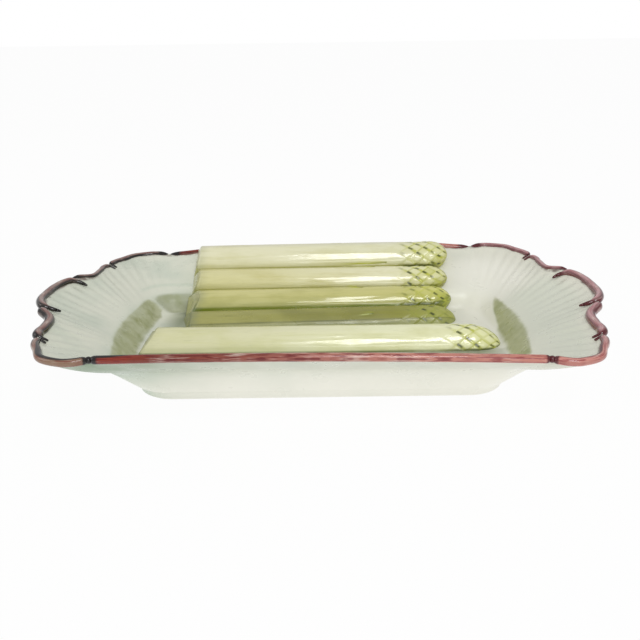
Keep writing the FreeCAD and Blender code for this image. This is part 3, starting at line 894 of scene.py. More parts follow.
@dataclass(frozen=True)
class DishPaint:
    """Where the washes, the pooled glaze, the painted light and shade and the bleed of the rim's paint lie on
    the dish.
    """

    pools: tuple[Patch, ...] = (
        Patch(0.14, x=((90.0, 20.0),), share=((0.8, 1.05), (1.9, 1.2))),
        Patch(0.16, x=((120.0, 150.0),), y=((62.0, 30.0),), share=((0.05, 0.3),)),
    )
    # A faint line in the pooled colour along the crease of the rear flange, at the left.
    mould_line: Patch = Patch(0.2, x=((-159.0, -145.0), (-91.0, -105.0)), y=((62.0, 72.0),),
                              z=((25.9, 26.8), (28.1, 27.2)), share=((0.0, 0.2),))
    # Painted light: the rear right of the flange and well painted whiter, where the light falls on it.
    painted_light_patch: Patch = Patch(0.75, x=((70.0, 105.0),), y=((30.0, 62.0),), share=((0.12, 0.5),))
    # Painted shade round the spears' butts, and a painted shadow of the front spear on the floor before it.
    round_butts: Patch = Patch(0.95, x=((-119.0, -102.0), (-79.0, -96.0)), y=((80.0, 56.0), (6.0, 20.0)))
    along_front_spear: Patch = Patch(0.75, x=((-130.0, -114.0), (130.0, 114.0)),
                                     y=((-32.0, -27.0), (-16.0, -21.0)))
    # The bar on the rear wall beside the butts is laid as sage wash and also as painted shade.
    beside_butts: Patch = Patch(0.5, x=((-130.0, -123.0), (-88.0, -98.0)), y=((58.0, 61.5),),
                                share=((0.88, 1.1), (1.99, 1.86)))
    shade_share: Pair = (0.75, 1.1)
    bleed: Pair = (4.0, 2.6)
    # Under the flange: pooled glaze at the left; painted light, whiter towards the bottom of the outer wall
    # where light bounces from the floor; painted shade at the top of the wall under the rim, more at the
    # left.
    under_pool: Patch = Patch(0.95, x=((-45.0, -135.0),), z=((4.0, 24.0),))
    under_drained: Patch = Patch(1.0, x=((-165.0, -60.0),), z=((44.0, 6.0),))
    under_shades: tuple[Patch, ...] = (
        Patch(0.27, x=((-165.0, -135.0),), z=((6.0, 40.0),)),
        Patch(0.3, x=((-165.0, -135.0), (-30.0, -110.0)), z=((6.0, 40.0),)),
    )
    floor_share: float = 1.99
    left_sage: float = 0.74
    left_wall: Pair = (0.9, 1.08)
    left_edge: float = 0.14
    left_lift: float = 0.3
    left_lift_back: Pair = (50.0, 62.0)
    left_back: Pair = (62.0, 56.0)
    left_end: Pair = (-112.0, -118.0)
    right_wall: Pair = (0.88, 1.14)
    right_edge: float = 0.3
    right_lift: float = 0.95
    right_lift_back: Pair = (6.0, 60.0)
    right_back: Pair = (64.0, 40.0)
    right_end: Pair = (108.0, 116.0)

    def above(self, points: Ring, shares: list[float], rim: Ring) -> Marks:
        """Marks of a row of the upper face.

        Args:
            points: the row.
            shares: how far each point lies down the dish.
            rim: the matching points of the rim.

        Returns:
            Values for the row, by name.
        """
        marks: Marks = {name: [] for name in PAINTS}
        for point, share, edge in zip(points, shares, rim):
            # Painted shade round the butts, along the front spear and on the bar beside the butts, which also
            # takes sage wash.
            beside = self.beside_butts.at(point, share)
            shade = max(self.round_butts.at(point), self.along_front_spear.at(point), beside)
            pools = [patch.at(point, share) for patch in (*self.pools, self.mould_line)]
            marks["sage"].append(max(self.sage(point, share), beside))
            marks["pool"].append(sum(pools))
            marks["rim_line"].append(smooth((point - edge).length, *self.bleed))
            # Painted light: the rear right painted whiter.
            marks["fresh"].append(self.painted_light_patch.at(point, share))
            marks["shade"].append(shade * smooth(share, *self.shade_share))
        return marks

    def below(self, points: Ring) -> Marks:
        """Marks of a row of the underside."""
        # Pooled glaze, painted light low on the outer wall and painted shade at its top.
        return brushed(points, pool=(self.under_pool,), fresh=(self.under_drained,), shade=self.under_shades)

    def sage(self, point: Vector, share: float) -> float:
        """How much sage wash is brushed on: a band up the left wall, a crescent up the right one.

        Args:
            point: the point.
            share: how far down the dish it lies.

        Returns:
            A share from 0 to 1.
        """
        if share > self.floor_share:
            return 0.0
        if point.x < 0.0:
            lowest = self.floor_share - self.left_lift * smooth(point.y, *self.left_lift_back)
            band = smooth(share, *self.left_wall) * smooth(share, lowest, lowest - self.left_edge)
            return self.left_sage * band * smooth(point.y, *self.left_back) * smooth(point.x, *self.left_end)
        start, stop = self.right_lift_back
        lowest = 2.0 - self.right_lift * clamp((point.y - start) / (stop - start)) ** 1.5
        crescent = smooth(share, *self.right_wall) * smooth(share, lowest, lowest - self.right_edge)
        return crescent * smooth(point.x, *self.right_end) * smooth(point.y, *self.right_back) ** 0.7


# ---------------------------------------------------------------- dish

FLANGE_STEPS, TURN_STEPS, WALL_STEPS, FOOT_STEPS, FLOOR_STEPS = 34, 6, 6, 5, 4
UNDER_STEPS, SHOULDER_STEPS, BASE_STEPS = 16, 7, 3
INNER_SHARES = (0.66, 0.33)


@dataclass
class Dish:
    """The pressed dish: scalloped flange with fan flutes, sauce well, outer wall and base."""

    outline: Outline
    glaze: DishGlaze
    paint: DishPaint = DishPaint()
    edge_above: float = 0.8
    edge_below: float = 1.9
    well: RoundedRing = RoundedRing(length=272.0, width=136.0, corner=20.0, bow=5.0, height=22.0)
    floor: RoundedRing = RoundedRing(length=251.0, width=126.0, corner=17.0, bow=3.0, height=10.0)
    shoulder: RoundedRing = RoundedRing(length=297.0, width=153.5, corner=38.0, bow=3.0, height=19.5)
    base: RoundedRing = RoundedRing(length=246.0, width=142.4, corner=27.0, bow=3.0, height=4.6)
    crease_round: float = 5.5
    floor_round: float = 3.5
    shoulder_round: float = 12.0
    base_round: float = 1.4
    most_of_wall: float = 0.45
    flute_pitch: float = 11.5
    flute_depth: float = 1.15
    flute_reach: float = 0.86
    flute_start: Pair = (0.05, 0.16)
    flute_ends: Pair = (178.0, 150.0)
    belly: float = 1.8

    def build(self) -> None:
        """Build the upper and lower skins as one closed mesh."""
        rim = [self.outline.settle(point) for point in whole_ring(self.outline)]
        crease, floor = whole_ring(self.well), whole_ring(self.floor)
        shoulder, base = whole_ring(self.shoulder), whole_ring(self.base)
        count = len(rim)
        travel = self.travel(rim)
        skin = Skin()
        above = [self.upper_profile(*places) for places in zip(rim, crease, floor)]
        below = [self.lower_profile(*places) for places in zip(rim, shoulder, base)]
        upper_rows, lower_rows = [], []
        for row in zip(*above):
            points, shares = [point.copy() for point, _ in row], [share for _, share in row]
            for point, share, distance in zip(points, shares, travel):
                point.z += self.flute(distance, share)
            upper_rows.append(skin.add_row(points, **self.paint.above(points, shares, rim)))
        for points in zip(*below):
            lower_rows.append(skin.add_row(points, **self.paint.below(points)))
        skin.bridge_all(upper_rows[::-1] + lower_rows, count)
        for row, height in ((upper_rows[-1], self.floor.height), (lower_rows[-1], self.base.height)):
            skin.fan(row, count, skin.add_row([Vector((0.0, 0.0, height))], **level_marks(PAINTS, 1)))
        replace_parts(skin.piece("glazed_dish", self.glaze.shared(), "body_glaze"), "platter_body")

    def travel(self, rim: Ring) -> list[float]:
        """Distance of each rim point from the middle of its end lobe, along the rim.

        Args:
            rim: the whole rim.

        Returns:
            One signed distance for each point.
        """
        count = len(rim)
        right = max(range(count), key=lambda i: rim[i].x - abs(rim[i].y))
        left = min(range(count), key=lambda i: rim[i].x + abs(rim[i].y))
        distances = [0.0] * count
        for middle in (right, left):
            for way in (1, -1):
                passed = 0.0
                for step in range(1, count // 4 + 1):
                    here, before = (middle + way * step) % count, (middle + way * (step - 1)) % count
                    passed += (rim[here] - rim[before]).length
                    distances[here] = way * passed
        return distances

    def flute(self, distance: float, share: float) -> float:
        """Height of the fan flutes.

        Args:
            distance: along the rim from the middle of the end.
            share: how far down the flange, from 0 at the rim to 1 at the crease.

        Returns:
            A height to add, never above the plain flange.
        """
        if share > self.flute_reach:
            return 0.0
        fade = (1.0 - share / self.flute_reach) * smooth(share, *self.flute_start)
        wave = 0.5 - 0.5 * math.cos(2.0 * math.pi * distance / self.flute_pitch)
        return -self.flute_depth * smooth(abs(distance), *self.flute_ends) * fade * wave

    def upper_profile(self, rim: Vector, crease: Vector, floor: Vector) -> list[tuple[Vector, float]]:
        """One line from the rim down the flange and the wall, and in over the floor.

        Args:
            rim: the outline's point.
            crease: the matching point of the well's crease.
            floor: the matching point of the floor's edge.

        Returns:
            Points with their share: 0 to 1 down the flange, 1 to 2 down the wall, then 2.
        """
        top = rim + Vector((0.0, 0.0, self.edge_above))
        inner = Vector((floor.x * 0.5, floor.y * 0.5, floor.z))
        down, wall = (crease - top).length, (floor - crease).length
        turn, foot = min(self.crease_round, down * 0.3), min(self.floor_round, wall * 0.4)
        last, past, stop = 1.0 - turn / down, 1.0 + min(self.most_of_wall, turn / wall), 2.0 - foot / wall
        line: list[tuple[Vector, float]] = []
        # The rows crowd a little towards the rim, where the flutes are deepest.
        for step in range(FLANGE_STEPS):
            share = last * (step / FLANGE_STEPS) ** 1.15
            line.append((mix(top, crease, share), share))
        before, after = mix(top, crease, last), mix(crease, floor, past - 1.0)
        for part in (step / TURN_STEPS for step in range(TURN_STEPS + 1)):
            line.append((bend(before, crease, after, part), last + (past - last) * part))
        for step in range(1, WALL_STEPS):
            share = past + (stop - past) * step / WALL_STEPS
            line.append((mix(crease, floor, share - 1.0), share))
        before, after = mix(crease, floor, stop - 1.0), mix(floor, inner, foot / (inner - floor).length)
        for part in (step / FOOT_STEPS for step in range(FOOT_STEPS + 1)):
            line.append((bend(before, floor, after, part), stop + (2.0 - stop) * part))
        line += [(mix(after, inner, step / FLOOR_STEPS), 2.0) for step in range(1, FLOOR_STEPS + 1)]
        return line + [(Vector((inner.x * s, inner.y * s, inner.z)), 2.0) for s in INNER_SHARES]

    def lower_profile(self, rim: Vector, shoulder: Vector, base: Vector) -> Ring:
        """One line from the rim down the underside, which sags a little, to the base.

        Args:
            rim: the outline's point.
            shoulder: the matching point of the shoulder.
            base: the matching point of the base's edge.

        Returns:
            Points from the rim inwards.
        """
        top = rim - Vector((0.0, 0.0, self.edge_below))
        middle = Vector((base.x * 0.9, base.y * 0.86, base.z))
        up, wall = (shoulder - top).length, (base - shoulder).length
        start = mix(top, shoulder, 1.0 - min(0.4, self.shoulder_round / up))
        leave = mix(shoulder, base, min(self.most_of_wall, self.shoulder_round / wall))
        reach = mix(shoulder, base, 1.0 - min(self.most_of_wall, self.base_round / wall))
        done = mix(base, middle, self.base_round / (middle - base).length)
        line = []
        for part in (step / UNDER_STEPS for step in range(UNDER_STEPS)):
            sag = Vector((0.0, 0.0, self.belly * math.sin(math.pi * part)))
            line.append(mix(top, start, part) - sag)
        line += [bend(start, shoulder, leave, step / SHOULDER_STEPS) for step in range(SHOULDER_STEPS + 1)]
        line += [mix(leave, reach, step / WALL_STEPS) for step in range(1, WALL_STEPS)]
        line += [bend(reach, base, done, step / FOOT_STEPS) for step in range(FOOT_STEPS + 1)]
        line += [mix(done, middle, step / BASE_STEPS) for step in range(1, BASE_STEPS + 1)]
        return line + [Vector((middle.x * s, middle.y * s, middle.z)) for s in INNER_SHARES]


# ---------------------------------------------------------------- foot

@dataclass
class Foot:
    """The applied foot: a low rounded band that the plate stands on."""

    glaze: DishGlaze
    length: float = 232.0
    width: float = 141.4
    corner: float = 25.0
    band: float = 5.0
    edge: float = 1.1
    slip: tuple[Pair, ...] = ((-1.05, 8.0), (-0.75, 5.0), (-0.35, 3.4), (0.0, 2.2))
    pool: Patch = Patch(0.5, x=((-80.0, -125.0),))
    # Painted light: the foot painted whiter except at the left, as if lit by light bounced from the floor.
    painted_light_patch: Patch = Patch(1.0, x=((-125.0, -60.0),))

    def build(self) -> None:
        """Sweep the band's section round the foot."""
        skin = Skin()
        rows = []
        for inset, height in self.section():
            ring = whole_ring(RoundedRing(self.length - 2 * inset, self.width - 2 * inset,
                                          self.corner - inset, 0.0, height))
            rows.append(skin.add_row(ring, **brushed(ring, pool=(self.pool,), fresh=(self.painted_light_patch,))))
        skin.bridge_all((rows + rows[:1])[::-1], len(ring))
        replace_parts(skin.piece("foot_band", self.glaze.shared(), "body_glaze"), "foot_ring")

    def section(self) -> list[Pair]:
        """Section of the band: how far in from the outside, and how high.

        Returns:
            Points once round the section.
        """
        turns = [math.radians(22.5 * step) for step in range(5)]
        points = list(self.slip)
        points += [(self.edge - self.edge * math.cos(t), self.edge - self.edge * math.sin(t)) for t in turns]
        points += [(self.band - self.edge + self.edge * math.sin(t), self.edge - self.edge * math.cos(t))
                   for t in turns]
        return points + [(self.band, self.slip[0][1])]


# ---------------------------------------------------------------- bed under the bank

@dataclass
class BankBed:
    """The bed of clay under the bank of spears, which leans with their cut butts at the left."""

    glaze: DishGlaze
    start: float = -99.0
    stop: float = 77.0
    front: Pair = (30.0, 10.2)
    rear: Pair = (71.5, 24.8)
    bottom: float = 9.0
    rear_lean: float = 1.0
    end_drop: float = 3.0
    end_reach: Pair = (0.02, 0.14)
    shaded: Pair = (16.0, 0.8)
    length_steps: int = 40
    width_steps: int = 12

    def build(self) -> None:
        """Build the bed as a prism with rounded ends."""
        skin = Skin()
        rows = []
        (front_y, front_z), (rear_y, rear_z) = self.front, self.rear
        # Painted shade darkens the bed's left end, under the spears' butts.
        reach, strength = self.shaded
        shade = Patch(strength, x=((self.start + reach, self.start),))
        parts = [step / self.width_steps for step in range(self.width_steps + 1)]
        for share in (step / self.length_steps for step in range(self.length_steps + 1)):
            x = self.start + (self.stop - self.start) * share
            full = smooth(share, 0.0, self.end_reach[0]) * smooth(share, 1.0, 1.0 - self.end_reach[1])
            drop = self.end_drop * (1.0 - full)
            row = [Vector((x, front_y + (rear_y - front_y) * part,
                           front_z + (rear_z - front_z) * part - drop)) for part in parts]
            row += [Vector((x, rear_y - self.rear_lean, self.bottom)), Vector((x, front_y, self.bottom))]
            rows.append(skin.add_row(row, **brushed(row, shade=(shade,))))
        skin.bridge_all(rows[::-1], len(row))
        skin.cap(rows[0], len(row))
        skin.cap(rows[-1], len(row))
        skin.piece("bank_bed", self.glaze.shared(), "body_glaze")


# ---------------------------------------------------------------- spears

STEM_SPACING, HEAD_SPACING = 1.1, 0.4
BUTT_STEPS = 6
BUTT_SHARES = (0.94, 0.75, 0.5, 0.25)
SPEAR_MARKS = ("valley", "soft", "edge", "dash", "cut", "head")
# Large unrelated factors, from which each scale's number gets a chance of its own.
CHANCE_UPPER, CHANCE_LOWER, CHANCE_SEED, CHANCE_SPREAD = 12.9898, 78.233, 37.7, 43758.5453


@dataclass(frozen=True)
class Bract:
    """One small leaf pressed into a stem: its point along X, its angle round the stem, its size."""

    point: float
    turn: float
    reach: float = 14.0
    half: float = 0.17


@dataclass
class Spear:
    """One moulded asparagus spear: a half-round stem, a cut butt and a pointed head of scales."""

    node: str
    finish: SpearGlaze
    start: float
    length: float
    back: float
    height: float
    radius: float
    bevel: float
    valleys: Pair
    seed: int
    slope: float = FLANGE_SLOPE
    bracts: tuple[Bract, ...] = ()
    fan: Pair = (0.0, 0.0)
    worn: float = 0.3
    front_soft_stain_and_shade: float = 1.0
    rear_smear: float = 0.35
    flat: float = 0.0
    flank: Pair = (math.radians(143.0), math.radians(14.0))
    seat: float = 0.0
    blunt: float = 0.65
    lift: float = 4.0
    head: float = 50.0
    tip: float = 24.0
    nose: float = 17.0
    squat: float = 0.2
    rows: float = 4.0
    row_growth: float = 1.3
    scale_width: float = 10.0
    scale_shift: float = 0.37
    relief: float = 0.95
    drop: float = 0.13
    butt_round: float = 3.0
    bevel_reach: float = 60.0
    around: int = 80
    below: float = math.radians(7.0)
    sole: float = 7.6

    def build(self) -> None:
        """Build the spear's skin in its own axes, laid on its slope."""
        skin = Skin()
        rows: list[int] = []
        count = self.around + 1
        for along in self.stations():
            points, marks = self.ring(along)
            rows.append(skin.add_row(points, **marks))
        skin.bridge_all(rows[::-1], count)
        self.close_butt(skin, rows[0], count)
        tip = self.lay(Vector((self.length, 0.0, self.lift)))
        skin.fan(rows[-1], count, skin.add_row([tip], **level_marks(SPEAR_MARKS, 1, head=1.0)))
        piece = skin.piece(self.node + "_glazed", self.finish.shared(), "spear_glaze")
        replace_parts(piece, self.node)

    def stations(self) -> list[float]:
        """Where the rings are along the spear, closer together over the head.

        Returns:
            Distances from the butt.
        """
        stem = self.length - self.head
        run, last_gap = stem - self.butt_round, 0.12
        places = [self.butt_round * (1.0 - math.cos(0.5 * math.pi * step / BUTT_STEPS))
                  for step in range(BUTT_STEPS)]
        coarse, fine = round(run / STEM_SPACING), round(self.head / HEAD_SPACING)
        places += [self.butt_round + run * step / coarse for step in range(coarse)]
        return places + [stem + (self.head - last_gap) * step / fine for step in range(fine + 1)]

    def swell(self, along: float) -> float:
        """Radius of the plain spear at a place along it.

        Args:
            along: distance from the butt.

        Returns:
            The radius without scales.
        """
        left = self.length - along
        if left < self.tip:
            reach = (self.tip ** 2 + self.radius ** 2) / (2.0 * self.radius)
            sharp = self.radius - reach + math.sqrt(max(0.0, reach ** 2 - (self.tip - left) ** 2))
            past = 1.0 - clamp(left / self.nose)
            full = self.radius * math.sqrt(max(0.0, 1.0 - past ** 2))
            return max(0.05, sharp + (full - sharp) * self.blunt)
        butt = clamp(along / self.butt_round)
        return self.radius - self.butt_round * 0.8 * (1.0 - math.sqrt(1.0 - (1.0 - butt) ** 2))

    def ring(self, along: float) -> tuple[Ring, Marks]:
        """One ring of the skin.

        Args:
            along: distance from the butt.

        Returns:
            Its points, and its marks by name.
        """
        left = self.length - along
        radius = self.swell(along)
        nearly_tip = smooth(left, self.tip, 0.0)
        rise, squat = self.lift * nearly_tip, 1.0 - self.squat * nearly_tip
        low = -self.below - math.asin(clamp(rise / radius, 0.0, 0.92))
        root = smooth(left, 6.0, 14.0) * smooth(left, self.head - 4.0, self.head - 18.0)
        points: Ring = []
        marks: Marks = {name: [] for name in SPEAR_MARKS}
        for step in range(self.around + 1):
            turn = low + (math.pi - 2.0 * low) * step / self.around
            is_rear = math.cos(turn) > 0.0
            depth, edge, dash = self.scales(along, turn)
            real = max(0.03, radius - depth - self.ribs(along, turn) - self.facet(turn))
            lean = self.bevel * (1.0 - clamp(along / self.bevel_reach)) * max(0.0, math.sin(turn))
            up = rise + real * squat * math.sin(turn)
            points.append(self.lay(Vector((along + lean, real * math.cos(turn), up))))
            # The valley and soft marks darken a spear where it meets the next one or the floor: partly green
            # stain pooled there, partly painted shade. On the front spear they make a painted shadow line
            # along its foot.
            above = up - self.valleys[0 if is_rear else 1]
            valley = smooth(above, 1.7, 0.3)
            # On the low spear a painted shadow line follows its seat on the bed, with a painted shaded band
            # below it.
            under = (turn - self.seat) * self.radius if self.seat else -self.radius
            marks["valley"].append(valley)
            marks["soft"].append(smooth(above, 6.0, 0.0) * (self.rear_smear if is_rear else self.front_soft_stain_and_shade))
            marks["edge"].append(edge)
            # The dash mark holds the scales' dark dashes, painted shade in the valleys along the head, and
            # the low spear's painted shadow line.
            marks["dash"].append(max(dash, 0.8 * valley * root, 0.55 * smooth(abs(under), 1.0, 0.3)))
            # The cut mark greys the stem near the butt, partly the cut end's colour and partly painted shade,
            # and lays the low spear's painted shaded band.
            marks["cut"].append(max(smooth(along, 11.0, 0.0) * self.worn, 0.45 * smooth(under, 0.4, 1.6)))
            marks["head"].append(smooth(left, self.head, 6.0))
        return points, marks

    def ribs(self, along: float, turn: float) -> float:
        """Depth of the fine ribs that run the length of the stem, and of the hand's slow unevenness.

        Args:
            along: distance from the butt.
            turn: angle round the spear.

        Returns:
            A depth below the plain spear.
        """
        fade = smooth(along, self.length - self.head + 14.0, self.length - self.head - 14.0)
        soft = noise.noise(Vector((along * 0.02, turn * 2.6, self.seed * 3.7)))
        fine = noise.noise(Vector((along * 0.11, turn * 7.0, self.seed * 9.1)))
        wave = math.sin(12.0 * turn + 1.9 * soft + self.seed)
        return fade * (0.12 + 0.1 * wave) + 0.16 * (1.0 + soft) + 0.05 * (1.0 + fine)

    def facet(self, turn: float) -> float:
        """Depth pared off the flank that faces the front, which is a little flat on the long spear.

        Args:
            turn: angle round the spear.

        Returns:
            A depth below the plain spear.
        """
        middle, half = self.flank
        off = abs(turn - middle)
        return self.flat * self.radius * (1.0 - math.cos(half) / math.cos(off)) if off < half else 0.0

    def saw(self, share: float) -> float:
        """Rise over a scale, then a short drop to the next."""
        whole = 1.0 - self.drop
        return share / whole if share < whole else (1.0 - share) / self.drop

    def scales(self, along: float, turn: float) -> tuple[float, float, float]:
        """Depth and painted marks of the overlapping scales of the head, and of the stem's few bracts.

        Two sets of rows cross over the head, and a scale fills each diamond between them.

        Args:
            along: distance from the butt.
            turn: angle round the spear.

        Returns:
            How far the surface lies below the plain spear, the seam line and the dark dash.
        """
        into = along - (self.length - self.head)
        if into <= 0.0:
            return self.leaf_marks(along, turn)
        row = self.rows * (into / self.head) ** self.row_growth
        side = turn * self.radius / self.scale_width + self.scale_shift * self.seed
        upper, lower = row + side, row - side
        a, b = upper % 1.0, lower % 1.0
        chance = self.chance(math.floor(upper), math.floor(lower))
        high = 0.42 * (self.saw(a) + self.saw(b)) + 0.16 * math.sin(math.pi * a) * math.sin(math.pi * b)
        grow = smooth(into, 3.0, 22.0)
        end = 0.4 + 0.6 * smooth(self.length - along, 0.0, 9.0)
        thick = max(smooth(b, 0.34, 0.13), smooth(b, 0.84, 0.95))
        thin = 0.8 * max(smooth(a, 0.2, 0.05), smooth(a, 0.9, 0.97))
        edge = max(thick, thin) * (0.1 + 0.9 * smooth(into, 8.0, 24.0)) * (0.35 + 0.75 * chance)
        edge = max(edge, 0.5 * smooth(chance, 0.7, 0.8) * smooth(into, 24.0, 38.0))
        dash = smooth(b, 0.3, 0.16) * smooth(a, 0.66, 0.36)
        dash *= smooth(chance, 0.2, 0.45) * smooth(into, 8.0, 20.0)
        return self.relief * (1.0 - high) * grow * end, edge * smooth(into, 0.0, 6.0), dash

    def chance(self, upper: int, lower: int) -> float:
        """A scale's own number from 0 to 1, the same on each run."""
        mixed = math.sin(upper * CHANCE_UPPER + lower * CHANCE_LOWER + self.seed * CHANCE_SEED)
        return mixed * CHANCE_SPREAD % 1.0

    def leaf_marks(self, along: float, turn: float) -> tuple[float, float, float]:
        """Depth and painted marks of the bracts on the stem.

        Args:
            along: distance from the butt.
            turn: angle round the spear.

        Returns:
            Depth, seam line and dark dash.
        """
        depth = edge = dash = 0.0
        for leaf in self.bracts:
            share = (leaf.point - self.start - along) / leaf.reach
            if not 0.0 < share < 1.0:
                continue
            half = leaf.half * math.sqrt(share) * (1.0 - 0.35 * share)
            off = (turn - leaf.turn - half) * self.radius
            inside = smooth(abs(turn - leaf.turn) * self.radius, half * self.radius + 0.3, half * self.radius)
            edge = max(edge, inside * smooth(share, 0.75, 0.1) * 0.8)
            edge = max(edge, smooth(abs(off), 0.9, 0.3) * smooth(share, 1.0, 0.5))
            dash = max(dash, smooth(abs(off), 0.7, 0.2) * smooth(share, 0.4, 0.1) * 0.7)
            if off > 0.0:
                depth = max(depth, 0.45 * smooth(off, 2.5, 0.0) * smooth(share, 1.0, 0.5))
        return depth, edge, dash

    def close_butt(self, skin: Skin, row: int, count: int) -> None:
        """Fill the cut butt with smaller and smaller rings.

        Args:
            skin: the mesh.
            row: first point of the stem's first ring.
            count: how many points a ring has.
        """
        radius, dish, middle = self.swell(0.0), 0.3, 0.4
        before = row
        for share in BUTT_SHARES:
            points = []
            for step in range(count):
                turn = -self.below + (math.pi + 2.0 * self.below) * step / self.around
                up = radius * (share * math.sin(turn) + (1.0 - share) * middle)
                x = self.bevel * max(0.0, up) / self.radius + dish * (1.0 - share)
                points.append(self.lay(Vector((x, radius * share * math.cos(turn), up))))
            now = skin.add_row(points, **level_marks(SPEAR_MARKS, count, cut=0.5 + 0.2 * share))
            skin.bridge(before, now, count)
            before = now
        centre = self.lay(Vector((middle * self.bevel + dish, 0.0, middle * radius)))
        skin.fan(before, count, skin.add_row([centre], **level_marks(SPEAR_MARKS, 1, cut=0.45)))

    def lay(self, point: Vector) -> Vector:
        """Turn a point from the spear's own axes (along, back, up) to the plate's.

        Args:
            point: the point beside the stem.

        Returns:
            The point in the plate, no lower than the sole that is luted into the floor.
        """
        cosine, sine = math.cos(self.slope), math.sin(self.slope)
        across = point.y + self.fan[0] + (self.fan[1] - self.fan[0]) * clamp(point.x / self.length)
        level = self.height + across * sine + point.z * cosine
        return Vector((self.start + point.x, self.back + across * cosine - point.z * sine,
                       max(self.sole, level)))


def spears() -> list[Spear]:
    """The five spears, from the rear of the bank to the long one in front, with their sizes and stains.

    Returns:
        The spears in the order in which they are built.
    """
    start = -100.5
    # The bank's finishes darken from the top spear to the low one: partly their stains, partly painted shade,
    # the lower spears lying in the shade of those above. The front spear's valley colour is a painted shadow
    # line along its foot.
    cream = SpearGlaze("spear_glaze_cream", butt_end="#efecc8", tip_end="#ecebca", stain="#dad6a0",
                       valley="#aaa850")
    straw = SpearGlaze("spear_glaze_straw", butt_end="#e1dca4", tip_end="#f3f1d0", stain="#cfc884",
                       valley="#8f8f36")
    green = SpearGlaze("spear_glaze_green", butt_end="#d6d18e", tip_end="#d1cd82", stain="#b3b063",
                       valley="#6f7d16", head_tint="#dcdc7c")
    olive = SpearGlaze("spear_glaze_olive", butt_end="#a6a45c", tip_end="#8c8c2e", stain="#7f7f3a",
                       valley="#626e20", head_tint="#b4b85e", edge="#98a030", roughness=0.3)
    pale = SpearGlaze("spear_glaze_pale", butt_end="#e3e1b8", tip_end="#f3f4cc", stain="#d5d596",
                      valley="#66703f", head_tint="#eeefb2")
    return [
        Spear("spear_bank_top", cream, start=start, length=203.5, back=104.0, height=38.0, radius=16.0,
              bevel=5.0, valleys=(1.8, 7.4), seed=1, fan=(-2.8, -0.4), lift=6.4,
              bracts=(Bract(20.0, 0.75), Bract(56.0, 2.42, reach=46.0, half=0.1))),
        Spear("spear_bank_second", straw, start=start, length=200.5, back=81.28, height=26.6, radius=13.8,
              bevel=7.0, valleys=(7.4, 6.8), seed=2, fan=(-2.0, -0.9), lift=5.0, worn=0.25,
              bracts=(Bract(29.0, 2.55), Bract(44.0, 0.8))),
        Spear("spear_bank_third", green, start=start - 2.0, length=203.0, back=58.57, height=15.3,
              radius=13.8, bevel=11.0, valleys=(5.4, 8.6), seed=3, fan=(-0.3, 2.2), worn=0.55,
              bracts=(Bract(33.0, 0.95),)),
        Spear("spear_bank_low", olive, start=start - 3.0, length=204.5, back=35.85, height=3.9,
              radius=14.8, bevel=8.0, valleys=(6.0, 2.0), seed=4, fan=(1.3, 5.6), worn=0.8, seat=2.01,
              bracts=(Bract(40.0, 1.6),)),
        Spear("spear_front", pale, start=-124.0, length=248.0, back=-8.0, height=8.8, radius=15.0,
              bevel=11.0, valleys=(1.2, 1.4), seed=5, slope=0.0, lift=0.2, worn=0.12, front_soft_stain_and_shade=0.1, flat=0.6,
              blunt=0.6, nose=13.0, bracts=(Bract(31.0, 1.1, reach=16.0),)),
    ]


# ---------------------------------------------------------------- rim

@dataclass(frozen=True)
class Finial:
    """How a scroll ends: in a thin hook, if it has one, then a swelling, under a stretch of dark paint.

    The hook has one radius where it meets the swelling and another at the very tip.
    """

    hook: float
    hook_radius: float
    tip_radius: float
    ease: float
    dark: float


REAR_KNOT = Finial(hook=0.0, hook_radius=0.9, tip_radius=0.9, ease=8.0, dark=11.0)
FRONT_KNOT = Finial(hook=0.0, hook_radius=1.8, tip_radius=1.7, ease=2.2, dark=3.0)
LEFT_KNOT = Finial(hook=0.0, hook_radius=1.8, tip_radius=1.7, ease=2.2, dark=5.0)
TICK = Finial(hook=4.6, hook_radius=1.15, tip_radius=0.45, ease=4.5, dark=7.5)
LONG_TICK = Finial(hook=8.5, hook_radius=1.7, tip_radius=0.6, ease=5.0, dark=11.0)
CURL = Finial(hook=3.0, hook_radius=1.7, tip_radius=1.0, ease=4.0, dark=6.5)
DAB = Finial(hook=0.0, hook_radius=1.2, tip_radius=1.2, ease=2.0, dark=6.0)

# Points of the hooks, in beads out, in beads back, and in beads down the flange, from the outline's
# notch or volute.
CORNER_HOOK = ((-0.3, 0.55, 0.0), (-1.05, 0.45, 0.8))
SIDE_HOOK = ((-0.95, -0.35, 0.8), (-0.1, -0.35, 0.0))
SIDE_CURL = ((-0.35, 1.0, 0.0), (0.15, 0.3, 0.0))
END_HOOK = ((-1.7, -0.7, 1.15), (-0.85, -0.5, 0.45), (0.15, -0.8, 0.0))
END_SWELL = 0.43
PATH_SPACING, RAIL_SPACING, SCROLL_SPACING = 0.5, 1.5, 0.7


